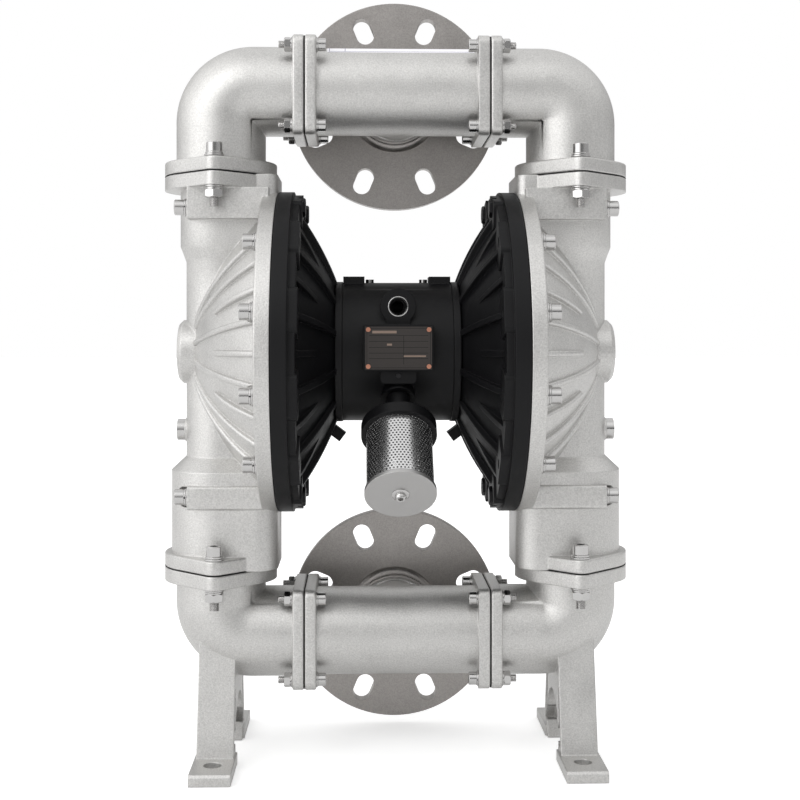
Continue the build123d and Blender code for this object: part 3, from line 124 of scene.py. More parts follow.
@dataclass(frozen=True)
class Finish:
    """One material of the pump.

    Attributes:
        name: what the real material is and how its surface was made.
        slot: the record's material slot, not used by this script.
        tone: its sRGB colour.
        metallic: 1 for bare metal, 0 for paint, rubber and plastic.
        roughness: how widely it spreads a highlight.
        surface: the kind of fine pattern on it.
        grain: the pattern's real size, in metres.
        relief: how deep the pattern looks, from 0 to 1.
        mottle: how far the tone wanders over the surface, from 0 to 1.
        soft_edge: the radius that worn or cast edges seem to have, in metres.
        gloss: the strength of the reflection on paint, rubber and plastic, 0.5 being the usual one.
    """

    name: str
    slot: str
    tone: str
    metallic: float = 1.0
    roughness: float = 0.4
    surface: Surface = Surface.PLAIN
    grain: float = 1.0 * MM
    relief: float = 0.0
    mottle: float = 0.0
    soft_edge: float = 0.0
    gloss: float = 0.5

    def material(self) -> bpy.types.Material:
        """Makes this finish's Blender material on its first use.

        Returns:
            The material, the same one each time.
        """
        known = bpy.data.materials.get(self.name)
        if known is not None:
            return known
        made = bpy.data.materials.new(self.name)
        made.use_nodes = True
        tree = made.node_tree
        tree.nodes.clear()
        shader = add_node(tree, "ShaderNodeBsdfPrincipled", inputs={
            "Base Color": linear(self.tone), "Metallic": self.metallic, "Roughness": self.roughness,
            "Specular IOR Level": self.gloss})
        add_node(tree, "ShaderNodeOutputMaterial", inputs={"Surface": shader.outputs["BSDF"]})
        place = add_node(tree, "ShaderNodeTexCoord").outputs["Object"]
        if self.surface is not Surface.PLAIN:
            self._pattern(tree, shader, place)
        elif self.soft_edge > 0:
            edge = add_node(tree, "ShaderNodeBevel", {"samples": EDGE_SAMPLES}, {"Radius": self.soft_edge})
            tree.links.new(edge.outputs["Normal"], shader.inputs["Normal"])
        return made

    def _pattern(self, tree: bpy.types.NodeTree, shader: bpy.types.Node,
                 place: bpy.types.NodeSocket) -> None:
        """Adds the fine pattern to the tone, the roughness and the normal.

        Args:
            tree: the material's node tree.
            shader: its surface shader.
            place: the socket that gives the object's own coordinates.
        """
        if self.surface is Surface.TURNED:
            flat = add_node(tree, "ShaderNodeVectorMath", {"operation": "MULTIPLY"},
                            {0: place, 1: TURNED_STRETCH}).outputs["Vector"]
        else:
            flat = place
        grain = add_node(tree, "ShaderNodeTexNoise", inputs={
            "Vector": flat, "Scale": 1 / self.grain, "Detail": 2.0, "Roughness": 0.6})
        cloud = add_node(tree, "ShaderNodeTexNoise", inputs={
            "Vector": place, "Scale": 1 / DRIFT_SIZE, "Detail": 4.0, "Roughness": 0.55})
        speck = add_node(tree, "ShaderNodeMapRange", inputs={
            "Value": grain.outputs["Fac"], "To Min": 1 - self.mottle,
            "To Max": 1 + self.mottle} | NOISE_RANGE)
        drift = add_node(tree, "ShaderNodeMapRange", inputs={
            "Value": cloud.outputs["Fac"], "To Min": 1 - self.mottle / 2, "To Max": 1.0} | NOISE_RANGE)
        shade = add_node(tree, "ShaderNodeMath", {"operation": "MULTIPLY"}, {
            0: speck.outputs["Result"], 1: drift.outputs["Result"]})
        red, green, blue, _ = linear(self.tone)
        tone = add_node(tree, "ShaderNodeVectorMath", {"operation": "SCALE"},
                        {0: (red, green, blue), "Scale": shade.outputs["Value"]})
        tree.links.new(tone.outputs["Vector"], shader.inputs["Base Color"])
        rough = add_node(tree, "ShaderNodeMapRange", inputs={
            "Value": cloud.outputs["Fac"], "To Min": self.roughness + ROUGHNESS_DRIFT[0],
            "To Max": self.roughness + ROUGHNESS_DRIFT[1]} | NOISE_RANGE)
        tree.links.new(rough.outputs["Result"], shader.inputs["Roughness"])
        edge = add_node(tree, "ShaderNodeBevel", {"samples": EDGE_SAMPLES}, {"Radius": self.soft_edge})
        bump = add_node(tree, "ShaderNodeBump", inputs={
            "Strength": self.relief, "Distance": self.grain * GRAIN_DEPTH, "Height": grain.outputs["Fac"],
            "Normal": edge.outputs["Normal"]})
        tree.links.new(bump.outputs["Normal"], shader.inputs["Normal"])


# Investment cast stainless steel, blasted with glass beads: pale, even and faintly sparkling. The beads'
# marks are about 0.3 mm and are drawn larger so that they show.
CAST_STAINLESS = Finish("blasted cast stainless steel", "cast_stainless", "CFCECC", 1.0, 0.43,
                        Surface.BLASTED, 1.4 * MM, 0.55, 0.14, 1.7 * MM)
# Plate turned on a lathe and left bare, warmer, darker and smoother than the castings
TURNED_STEEL = Finish("turned stainless plate", "flange_steel", "ABA7A4", 1.0, 0.42,
                      Surface.TURNED, 1.2 * MM, 0.05, 0.14, 0.9 * MM)
# Cast aluminium under a thin satin black coating, which hides all but the broadest highlights
BLACK_CASTING = Finish("satin black coated casting", "black_casting", "0C0C0E", 0.0, 0.48,
                       Surface.SATIN, 1.3 * MM, 0.12, 0.08, 1.6 * MM, 0.22)
# Cap screws, nuts and washers, polished so that they mirror the studio
BRIGHT_STEEL = Finish("polished stainless steel", "bright_steel", "C2C1C0", 1.0, 0.16, soft_edge=0.3 * MM)
# Screws blackened in oil, nearly black with a dull sheen on their edges. On the pad screw the black also
# stands in as painted shade for the dark recess it sits in
BLACK_STEEL = Finish("blackened steel", "dark_steel", "1A1A1C", 0.4, 0.42, soft_edge=0.4 * MM)
# Bright rolled sheet, so that the land between the holes glints
SCREEN_STEEL = Finish("perforated stainless sheet", "polished_steel", "DCDCDC", 1.0, 0.27)
# Spun disc with a fine satin face that stays even from edge to edge
DISC_STEEL = Finish("satin stainless disc", "bright_steel", "B6B5B4", 1.0, 0.40, soft_edge=0.9 * MM)
# Rubber as it leaves the mould, matt and almost black
RUBBER = Finish("moulded black rubber", "rubber", "161616", 0.0, 0.75, gloss=0.3)
# Machined fluoroplastic, milky white with a waxy sheen
BALL_RESIN = Finish("turned white fluoroplastic", "ball_plastic", "E9E8E2", 0.0, 0.45)
# Aluminium anodised a brownish black, with its printing etched back to the bare metal
PLATE_METAL = Finish("dark anodised aluminium plate", "plate_aluminium", "3F3B39", 0.55, 0.42)
PLATE_INK = Finish("black etched line", "plate_aluminium", "161413", 0.0, 0.6, gloss=0.3)
PLATE_PALE = Finish("bare etched field", "plate_aluminium", "8E7C70", 0.5, 0.45)
# Soft rivets, bright and reddish
COPPER = Finish("copper rivet", "rivet_copper", "D0937B", 1.0, 0.28)
# Hard anodising turns aluminium a deep matt grey. The tone is also taken darker as painted shade, so that
# the spool and sleeve seen through the air port read as the dark inside of the port
VALVE_METAL_AND_PORT_SHADE = Finish("hard anodised valve aluminium with painted port shade", "valve_aluminium", "2A2A2C", 0.3, 0.5, gloss=0.3)
# Cut after the coating, so that bare aluminium glints in the dark hole
THREAD_METAL = Finish("freshly cut aluminium thread", "valve_aluminium", "8C8C8C", 1.0, 0.3)
# Yellow brown and smooth from the lathe
BUSH_METAL = Finish("turned bearing bronze", "bush_brass", "B08D57", 1.0, 0.35)
# Printed film, white and half matt, with a soft blue grey ink
LABEL_PAPER = Finish("white vinyl label", "ball_plastic", "F4F3F7", 0.0, 0.5)
LABEL_INK = Finish("blue grey label ink", "ball_plastic", "4E4C78", 0.0, 0.5)

NODE_FINISHES: dict[Finish, tuple[str, ...]] = {
    CAST_STAINLESS: ("left_fluid_chamber", "right_fluid_chamber", "left_suction_elbow",
                     "right_suction_elbow", "left_discharge_elbow", "right_discharge_elbow", "suction_tee",
                     "discharge_tee"),
    TURNED_STEEL: ("suction_flange", "discharge_flange"),
    BLACK_CASTING: ("left_air_chamber", "right_air_chamber", "centre_body", "muffler_cap", "muffler_nipple"),
    DISC_STEEL: ("muffler_end_disc",),
    # The pad screw is black partly as painted shade in its recess
    BLACK_STEEL: ("pad_screw",),
    BRIGHT_STEEL: ("drain_plugs", "cover_screws", "body_screws", "rod_end_nuts", "diaphragm_rod",
                   "pilot_rod", "inner_clamp_discs", "outer_clamp_discs"),
    RUBBER: ("left_diaphragm", "right_diaphragm", "rod_seals", "seat_gaskets", "manifold_gaskets"),
    BALL_RESIN: ("lower_left_ball", "lower_right_ball", "upper_left_ball", "upper_right_ball",
                 "lower_ball_seats", "upper_ball_seats"),
    PLATE_METAL: ("nameplate",),
    COPPER: ("nameplate_rivets",),
    # Valve parts darkened as painted shade inside the air port, over their anodised grey
    VALVE_METAL_AND_PORT_SHADE: ("valve_sleeve", "valve_end_caps", "valve_spool"),
    BUSH_METAL: ("rod_bushes",),
}


def pick(thing: bpy.types.Object) -> None:
    """Makes one object the only selected and the active one.

    Args:
        thing: the object.
    """
    bpy.ops.object.select_all(action="DESELECT")
    thing.select_set(True)
    bpy.context.view_layer.objects.active = thing


def use_modifier(thing: bpy.types.Object, kind: str, **settings: object) -> None:
    """Adds a modifier and applies it.

    Args:
        thing: the object that it shapes.
        kind: Blender's name for the modifier's type.
        settings: its properties.
    """
    pick(thing)
    modifier = thing.modifiers.new(kind.lower(), kind)
    for name, value in settings.items():
        setattr(modifier, name, value)
    bpy.ops.object.modifier_apply(modifier=modifier.name)


def smooth(thing: bpy.types.Object, degrees: float = 35.0) -> None:
    """Shades an object smooth except over edges sharper than an angle."""
    pick(thing)
    bpy.ops.object.shade_smooth_by_angle(angle=math.radians(degrees))


def lathe(name: str, profile: Sequence[tuple[float, float]], steps: int = 40) -> bpy.types.Object:
    """Spins a closed half profile about Z.

    Args:
        name: the new object's name.
        profile: radius and height of each corner, in metres, in order round the section.
        steps: facets in a full turn.

    Returns:
        The turned object, at the origin.
    """
    mesh = bpy.data.meshes.new(name)
    corners = [(radius, 0.0, height) for radius, height in profile]
    mesh.from_pydata(corners, [(i, (i + 1) % len(corners)) for i in range(len(corners))], [])
    turned = bpy.data.objects.new(name, mesh)
    bpy.context.scene.collection.objects.link(turned)
    pick(turned)
    bpy.ops.object.mode_set(mode="EDIT")
    bpy.ops.mesh.select_all(action="SELECT")
    bpy.ops.mesh.spin(steps=steps, angle=math.tau, center=(0, 0, 0), axis=(0, 0, 1))
    bpy.ops.mesh.select_all(action="SELECT")
    bpy.ops.mesh.remove_doubles(threshold=SAME_POINT)
    bpy.ops.mesh.dissolve_degenerate(threshold=SAME_POINT)
    bpy.ops.mesh.normals_make_consistent(inside=False)
    bpy.ops.object.mode_set(mode="OBJECT")
    smooth(turned)
    return turned


def prism(name: str, sides: int, radius: float, low: float, high: float) -> bpy.types.Object:
    """Adds an upright prism between two heights.

    Args:
        name: the new object's name.
        sides: its number of sides.
        radius: its radius over the corners.
        low: the height of its foot.
        high: the height of its top.

    Returns:
        The prism, on the Z axis.
    """
    bpy.ops.object.select_all(action="DESELECT")
    bpy.ops.mesh.primitive_cylinder_add(vertices=sides, radius=radius, depth=high - low,
                                        location=(0, 0, (low + high) / 2))
    made = bpy.context.object
    made.name = name
    bpy.ops.object.transform_apply(location=True, rotation=True, scale=True)
    return made


def block(name: str, size: tuple[float, float, float],
          centre: tuple[float, float, float]) -> bpy.types.Object:
    """Adds a box.

    Args:
        name: the new object's name.
        size: its lengths along X, Y and Z.
        centre: its middle.

    Returns:
        The box, with its place in its mesh.
    """
    bpy.ops.object.select_all(action="DESELECT")
    bpy.ops.mesh.primitive_cube_add(size=1, location=centre)
    made = bpy.context.object
    made.name = name
    made.scale = size
    bpy.ops.object.transform_apply(location=True, rotation=True, scale=True)
    return made


def cut(thing: bpy.types.Object, tool: bpy.types.Object, operation: str = "DIFFERENCE") -> None:
    """Cuts one object with another and removes the tool.

    Args:
        thing: the object that is cut.
        tool: the object that cuts it.
        operation: Blender's name for the way the two combine.
    """
    use_modifier(thing, "BOOLEAN", operation=operation, object=tool, solver="EXACT")
    bpy.data.objects.remove(tool)


def joined(name: str, parts: Iterable[bpy.types.Object]) -> bpy.types.Object:
    """Joins objects into one.

    Args:
        name: the joined object's name.
        parts: the objects, at least one.

    Returns:
        The joined object, at the origin.
    """
    members = list(parts)
    bpy.ops.object.select_all(action="DESELECT")
    for member in members:
        member.select_set(True)
    bpy.context.view_layer.objects.active = members[0]
    if len(members) > 1:
        bpy.ops.object.join()
    whole = bpy.context.view_layer.objects.active
    whole.name = name
    whole.data.name = name
    return whole


def copy_to(master: bpy.types.Object, place: Matrix) -> bpy.types.Object:
    """Copies an object with its mesh.

    Args:
        master: the object that is copied.
        place: the matrix that takes the copy's mesh to its place.

    Returns:
        The copy, with its object at the origin.
    """
    twin = master.copy()
    twin.data = master.data.copy()
    bpy.context.scene.collection.objects.link(twin)
    twin.data.transform(place)
    return twin


def facing(point: Vector, way: Vector) -> Matrix:
    """The matrix that puts +Z of a model along a direction, at a point."""
    return Matrix.Translation(point) @ way.to_track_quat("Z", "Y").to_matrix().to_4x4()


def dress(thing: bpy.types.Object, finish: Finish, *nodes: str) -> None:
    """Gives a new piece its finish, its body and the CAD nodes it stands for.

    Args:
        thing: the new piece.
        finish: its material.
        nodes: CAD nodes that it replaces.
    """
    thing.data.materials.clear()
    thing.data.materials.append(finish.material())
    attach(thing, BODY)
    if nodes:
        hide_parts(*nodes)
    LOG.info("piece %s: %d faces", thing.name, len(thing.data.polygons))


@dataclass
class Castings:
    """The CAD nodes that keep their own meshes and get better materials."""

    crease: float = math.radians(32)
    weld_reach: float = 0.002 * MM

    def build(self) -> None:
        """Gives each node its finish, and welds and splits its facets so that curved walls look smooth."""
        for finish, names in NODE_FINISHES.items():
            for name in names:
                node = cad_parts[name]
                node.data.materials.clear()
                node.data.materials.append(finish.material())
                node.data.polygons.foreach_set("use_smooth", [True] * len(node.data.polygons))
                weld = node.modifiers.new("weld", "WELD")
                weld.merge_threshold = self.weld_reach
                split = node.modifiers.new("split", "EDGE_SPLIT")
                split.split_angle = self.crease
                LOG.info("node %s: %s", name, finish.name)


@dataclass(frozen=True)
class ScrewSize:
    """The sizes of one screw with its washers and its nut, in metres.

    Attributes:
        shank_r: radius of the shank.
        head_r: radius of the cap head.
        head_h: height of the cap head.
        key_r: radius of the hexagon socket over its corners.
        washer_r: radius of the flat washer.
        stack_h: height of the flat washer and the spring washer together.
        nut_r: radius of the nut over its corners.
        nut_h: height of the nut.
        pitch: pitch of the thread.
        tip: how far the thread stands out of the nut.
    """

    shank_r: float
    head_r: float
    head_h: float
    key_r: float
    washer_r: float
    stack_h: float
    nut_r: float
    nut_h: float
    pitch: float
    tip: float


LARGE_SCREW = ScrewSize(shank_r=5.0 * MM, head_r=8.0 * MM, head_h=10.0 * MM, key_r=4.62 * MM,
                        washer_r=10.0 * MM, stack_h=4.0 * MM, nut_r=9.8 * MM, nut_h=8.0 * MM,
                        pitch=1.5 * MM, tip=9.0 * MM)
SMALL_SCREW = ScrewSize(shank_r=4.0 * MM, head_r=6.5 * MM, head_h=8.0 * MM, key_r=3.46 * MM,
                        washer_r=8.0 * MM, stack_h=2.0 * MM, nut_r=7.5 * MM, nut_h=6.5 * MM,
                        pitch=1.25 * MM, tip=6.0 * MM)


@dataclass
class Fasteners:
    """Cap screws, nuts and washers, each modelled once and copied to its places."""

    rim_x: float = 137.0 * MM
    rim_bolt_r: float = 152.0 * MM
    rim_bolts: int = 12
    long_head_x: float = 212.0 * MM
    rim_nut_x: float = 101.2 * MM
    block_y: float = 54.0 * MM
    oval_h: float = 14.5 * MM
    square_head_x: float = 82.5 * MM
    square_nut_x: float = 106.5 * MM
    square_half: float = 41.0 * MM
    flat_share: float = 0.45
    washer_play: float = 1.05
    slit_share: float = 0.16
    slit_foot: float = 0.05
    ring_edge: float = 0.25
    head_edge: float = 0.09
    nut_chamfer: float = 0.12
    thread_root: float = 0.80
    corner_lift: float = 0.1 * MM

    def ring(self, name: str, hole_r: float, outer_r: float, low: float, high: float) -> bpy.types.Object:
        """A washer between two heights, with its outer edges broken."""
        edge = self.ring_edge * (high - low)
        return lathe(name, [(hole_r, low), (outer_r - edge, low), (outer_r, low + edge),
                            (outer_r, high - edge), (outer_r - edge, high), (hole_r, high)], steps=32)

    def washers(self, size: ScrewSize) -> bpy.types.Object:
        """A flat washer with a split spring washer on it.

        Args:
            size: the screw's sizes.

        Returns:
            Both washers as one object, standing on the XY plane.
        """
        middle = size.stack_h * self.flat_share
        hole_r = size.shank_r * self.washer_play
        flat = self.ring("flat_washer", hole_r, size.washer_r, 0, middle)
        spring_r = (size.washer_r + size.head_r) / 2
        spring = self.ring("spring_washer", hole_r, spring_r, middle, size.stack_h)
        slit = block("slit", (2 * spring_r, self.slit_share * size.head_r, 2 * size.stack_h),
                     (spring_r, 0, middle + (1 + self.slit_foot) * size.stack_h))
        cut(spring, slit)
        smooth(spring)
        return joined("washers", [flat, spring])

    def screw(self, size: ScrewSize) -> bpy.types.Object:
        """A cap screw's head on its washers, with a hexagon socket and an open edge.

        Args:
            size: the screw's sizes.

        Returns:
            The head and its washers as one object, standing on the XY plane.
        """
        low, high = size.stack_h, size.stack_h + size.head_h
        edge = self.head_edge * size.head_r
        head = lathe("head", [(0, low), (size.head_r - edge / 2, low), (size.head_r, low + edge / 2),
                              (size.head_r, high - edge), (size.head_r - edge, high), (0, high)], steps=36)
        cut(head, prism("key", HEXAGON, size.key_r, high - size.head_h / 2, high + edge))
        smooth(head)
        return joined("screw", [head, self.washers(size)])

    def nut(self, size: ScrewSize, washers: bool = True) -> bpy.types.Object:
        """A nut with the screw's end in it.

        Args:
            size: the screw's sizes.
            washers: whether it stands on washers, with the thread standing out of it.

        Returns:
            The nut, thread and washers as one object.
        """
        low = size.stack_h if washers else 0.0
        high = low + size.nut_h
        end = high + (size.tip if washers else 0.0)
        corner = size.nut_r + self.corner_lift
        flat_r = size.nut_r * math.cos(math.radians(30))
        chamfer = self.nut_chamfer * size.nut_r
        nut = lathe("nut", [(0, low), (flat_r, low), (corner, low + chamfer), (corner, high - chamfer),
                            (flat_r, high), (0, high)], steps=48)
        cut(nut, prism("hexagon", HEXAGON, size.nut_r, low - MM, high + MM), "INTERSECT")
        smooth(nut, degrees=20)
        parts = [nut]
        if washers:
            root = self.thread_root * size.shank_r
            profile = [(0, high - MM), (size.shank_r, high - MM), (size.shank_r, high)]
            for turn in range(int((end - high) / size.pitch)):
                valley = high + (turn + 0.5) * size.pitch
                profile += [(root, valley), (size.shank_r, valley + size.pitch / 2)]
            profile += [(root, end), (0, end)]
            parts += [lathe("thread", profile, steps=20), self.washers(size)]
        return joined("nut", parts)

    def rim_places(self, long: bool) -> list[tuple[float, float]]:
        """Finds the rim's screws on one side.

        Args:
            long: true for the long ones near the passage, false for the short ones.

        Returns:
            Y and Z of each.
        """
        found = []
        for place in range(self.rim_bolts):
            turn = math.tau * (place + 0.5) / self.rim_bolts
            across, up = self.rim_bolt_r * math.cos(turn), self.rim_bolt_r * math.sin(turn)
            if (abs(across) < self.block_y) == long:
                found.append((across, CHAMBER_Z + up))
        return found

    def rim_groups(self, out: Vector) -> dict[str, list[tuple[Vector, Vector]]]:
        """Places and directions of one chamber's rim screws and nuts.

        Args:
            out: the direction from the pump's middle to the chamber.

        Returns:
            For each group of fasteners, the seat and the direction of each.
        """
        short = [Vector((out.x * self.rim_x, y, z)) for y, z in self.rim_places(long=False)]
        heads = [Vector((out.x * self.long_head_x, y, z)) for y, z in self.rim_places(long=True)]
        nuts = [Vector((out.x * self.rim_nut_x, y, z)) for y, z in self.rim_places(long=True)]
        return {"rim_bolts": [(seat, out) for seat in short],
                "long_rim_bolts": [(seat, out) for seat in heads],
                "long_rim_nuts": [(seat, -out) for seat in nuts]}

    def joint_groups(self, out: Vector) -> dict[str, list[tuple[Vector, Vector]]]:
        """Places and directions of one side's screws and nuts in the pipework.

        Args:
            out: the direction from the pump's middle to that side.

        Returns:
            For each group of fasteners, the seat and the direction of each.
        """
        up = Vector((0, 0, 1))
        found: dict[str, list[tuple[Vector, Vector]]] = {
            "chamber_joint_bolts": [], "chamber_joint_nuts": [], "manifold_joint_bolts": [],
            "manifold_joint_nuts": []}
        for front in SIDES:
            for z in JOINT_HEIGHTS:
                middle = Vector((out.x * PIPE_X, front * OVAL_EAR_Y, z))
                found["chamber_joint_bolts"].append((middle + up * self.oval_h, up))
                found["chamber_joint_nuts"].append((middle - up * self.oval_h, -up))
            for pipe in PIPE_HEIGHTS:
                for side in SIDES:
                    y, z = front * self.square_half, pipe + side * self.square_half
                    found["manifold_joint_bolts"].append((Vector((out.x * self.square_head_x, y, z)), -out))
                    found["manifold_joint_nuts"].append((Vector((out.x * self.square_nut_x, y, z)), out))
        return found

    def build(self) -> None:
        """Builds every group of screws and nuts."""
        screw, nut = self.screw(LARGE_SCREW), self.nut(LARGE_SCREW)
        masters = {"rim_bolts": screw, "long_rim_bolts": screw, "chamber_joint_bolts": screw,
                   "chamber_joint_nuts": nut, "long_rim_nuts": self.nut(LARGE_SCREW, washers=False),
                   "manifold_joint_bolts": self.screw(SMALL_SCREW),
                   "manifold_joint_nuts": self.nut(SMALL_SCREW)}
        places: dict[str, list[tuple[Vector, Vector]]] = {name: [] for name in masters}
        for out in (Vector((side, 0, 0)) for side in SIDES):
            for name, found in (self.rim_groups(out) | self.joint_groups(out)).items():
                places[name] += found
        for name, master in masters.items():
            finish = BLACK_STEEL if name == "long_rim_nuts" else BRIGHT_STEEL
            copies = [copy_to(master, facing(seat, way)) for seat, way in places[name]]
            dress(joined(f"{name}_dressed", copies), finish, name)
        for master in set(masters.values()):
            bpy.data.objects.remove(master)


@dataclass
class Muffler:
    """The exhaust muffler: a perforated screen between a black cap and a bright disc."""

    shift: float = 13.0 * MM
    tilt: float = math.radians(45)
    screen_r: float = 32.0 * MM
    wall: float = 1.0 * MM
    screen_start: float = 125.0 * MM
    screen_end: float = 195.0 * MM
    holes_round: int = 58
    hole_r: float = 1.0 * MM
    hole_sides: int = 12
    plain_end: float = 1.6 * MM
    band_overlap: float = 0.3
    band_lip: float = 0.05 * MM
    seam_reach: float = 0.05 * MM
    washer_start: float = 199.0 * MM
    washer_r: float = 8.5 * MM
    washer_h: float = 1.5 * MM
    washer_rim_h: float = 0.8 * MM
    washer_slope: float = 1.4 * MM
    head_r: float = 5.5 * MM
    head_h: float = 4.0 * MM
    socket_r: float = 2.7 * MM
    bolt_r: float = 3.0 * MM
    bolt_start: float = 136.0 * MM

    def place(self) -> Matrix:
        """Finds where the muffler stands.

        Returns:
            The matrix from the muffler's own frame, +Z along its axis, to the pump's.
        """
        across = Vector((0, -math.cos(self.tilt), math.sin(self.tilt)))
        along = Vector((0, -math.sin(self.tilt), -math.cos(self.tilt)))
        return facing(Vector((0, 0, CHAMBER_Z)) + across * self.shift, along)

    def cell(self, pitch: float) -> bpy.types.Object:
        """One hexagon of sheet with a round hole, flat, with corners towards +Y and -Y.

        Args:
            pitch: its width over the flats, which is the pitch of the holes.

        Returns:
            The sheet, without thickness.
        """
        bpy.ops.object.select_all(action="DESELECT")
        bpy.ops.mesh.primitive_circle_add(vertices=self.hole_sides, radius=self.hole_r)
        sheet = bpy.context.object
        bpy.ops.object.mode_set(mode="EDIT")
        bpy.ops.mesh.select_all(action="SELECT")
        bpy.ops.mesh.extrude_edges_move()
        bpy.ops.object.mode_set(mode="OBJECT")
        sixth = math.radians(60)
        for vertex in [v for v in sheet.data.vertices if v.select]:
            turn = math.atan2(vertex.co.y, vertex.co.x)
            off = (turn + sixth / 2) % sixth - sixth / 2
            reach = pitch / 2 / math.cos(off)
            vertex.co = Vector((reach * math.cos(turn), reach * math.sin(turn), 0))
        return sheet

    def screen(self) -> bpy.types.Object:
        """Rolls the perforated sheet into a tube, with a plain band at each end.

        Returns:
            The screen, in its place.
        """
        girth = math.tau * self.screen_r
        pitch = girth / self.holes_round
        rise = pitch * math.sqrt(3) / 2
        length = self.screen_end - self.screen_start
        rows = int((length - 2 * self.plain_end) / rise)
        cell = self.cell(pitch)
        start = (length - (rows - 1) * rise) / 2
        tiles = []
        for row in range(rows):
            for column in range(self.holes_round):
                at = Vector(((column + 0.5 * (row % 2)) * pitch, start + row * rise, 0))
                tiles.append(copy_to(cell, Matrix.Translation(at)))
        bpy.data.objects.remove(cell)
        sheet = joined("muffler_screen_sheet", tiles)
        for vertex in sheet.data.vertices:
            turn = vertex.co.x / self.screen_r
            vertex.co = Vector((self.screen_r * math.cos(turn), self.screen_r * math.sin(turn), vertex.co.y))
        pick(sheet)
        bpy.ops.object.mode_set(mode="EDIT")
        bpy.ops.mesh.select_all(action="SELECT")
        bpy.ops.mesh.remove_doubles(threshold=self.seam_reach)
        bpy.ops.mesh.normals_make_consistent(inside=False)
        bpy.ops.object.mode_set(mode="OBJECT")
        if sheet.data.polygons[0].normal.dot(sheet.data.polygons[0].center * Vector((1, 1, 0))) < 0:
            sheet.data.flip_normals()
        use_modifier(sheet, "SOLIDIFY", thickness=self.wall, offset=-1)
        smooth(sheet, degrees=40)
        inner, outer = self.screen_r - self.wall, self.screen_r + self.band_lip
        edge = start - rise * self.band_overlap
        bands = [lathe("band", [(inner, low), (outer, low), (outer, high), (inner, high)], self.holes_round)
                 for low, high in ((0, edge), (length - edge, length))]
        whole = joined("muffler_screen_perforated", [sheet, *bands])
        whole.data.transform(self.place() @ Matrix.Translation((0, 0, self.screen_start)))
        return whole

    def tie_bolt(self) -> bpy.types.Object:
        """Makes the low headed bolt that holds the muffler together, on its washer.

        Returns:
            The bolt and its washer as one object, in their place.
        """
        low = self.washer_start
        washer = lathe("washer", [(self.bolt_r, low), (self.washer_r, low),
                                  (self.washer_r, low + self.washer_rim_h),
                                  (self.washer_r - self.washer_slope, low + self.washer_h),
                                  (self.bolt_r, low + self.washer_h)])
        low += self.washer_h
        high = low + self.head_h
        head = lathe("head", [(0, self.bolt_start), (self.bolt_r, self.bolt_start), (self.bolt_r, low),
                              (self.head_r, low), (self.head_r, low + self.head_h / 2),
                              (self.head_r - self.head_h / 3, high), (0, high)])
        cut(head, prism("key", HEXAGON, self.socket_r, low, high + MM))
        smooth(head)
        whole = joined("muffler_tie_bolt_dressed", [head, washer])
        whole.data.transform(self.place())
        return whole

    def build(self) -> None:
        """Builds the screen and the bolt."""
        dress(self.screen(), SCREEN_STEEL, "muffler_screen")
        dress(self.tie_bolt(), BRIGHT_STEEL, "muffler_tie_bolt", "muffler_washer")


@dataclass
class Nameplate:
    """The engraving of the nameplate: a border and blank ruled rows.

    Attributes:
        front_y: where its face lies.
        centre_z: the height of its middle.
        width: its width.
        height: its height.
        line: the width of a line.
        rise: how far the lines stand out.
        margin: from its edge to the border.
        row_heights: each row's height above the middle.
        row_margin: how much shorter a row is than the border.
        divider: place along X, height above the middle and length of the upright line.
        fields: place along X, height above the middle, width and height of each pale field.
    """

    front_y: float = -83.0 * MM
    centre_z: float = 421.7 * MM
    width: float = 66.0 * MM
    height: float = 42.4 * MM
    line: float = 0.45 * MM
    rise: float = 0.06 * MM
    margin: float = 1.7 * MM
    row_heights: tuple[float, ...] = (12.4 * MM, 6.6 * MM, 0.6 * MM, -5.0 * MM, -10.4 * MM)
    row_margin: float = 4.0 * MM
    divider: tuple[float, float, float] = (5.0 * MM, -2.0 * MM, 28.0 * MM)
    fields: tuple[tuple[float, float, float, float], ...] = (
        (-14 * MM, 15.8 * MM, 24 * MM, 2.6 * MM),
        (-9 * MM, 3.4 * MM, 5 * MM, 2.0 * MM),
        (16 * MM, -8.0 * MM, 22 * MM, 1.6 * MM),
    )

    def bar(self, x: float, z: float, width: float, height: float) -> bpy.types.Object:
        """A thin bar on the plate's face."""
        return block("bar", (width, self.rise, height), (x, self.front_y - self.rise / 2, self.centre_z + z))

    def build(self) -> None:
        """Builds the dark lines and the pale blank fields."""
        half_w, half_h = self.width / 2 - self.margin, self.height / 2 - self.margin
        lines = [self.bar(0, half_h, 2 * half_w, self.line), self.bar(0, -half_h, 2 * half_w, self.line),
                 self.bar(-half_w, 0, self.line, 2 * half_h), self.bar(half_w, 0, self.line, 2 * half_h)]
        lines += [self.bar(0, z, 2 * half_w - self.row_margin, self.line) for z in self.row_heights]
        divider_x, divider_z, divider_height = self.divider
        lines += [self.bar(divider_x, divider_z, self.line, divider_height)]
        dress(joined("nameplate_lines", lines), PLATE_INK)
        fields = [self.bar(*place) for place in self.fields]
        dress(joined("nameplate_fields", fields), PLATE_PALE)


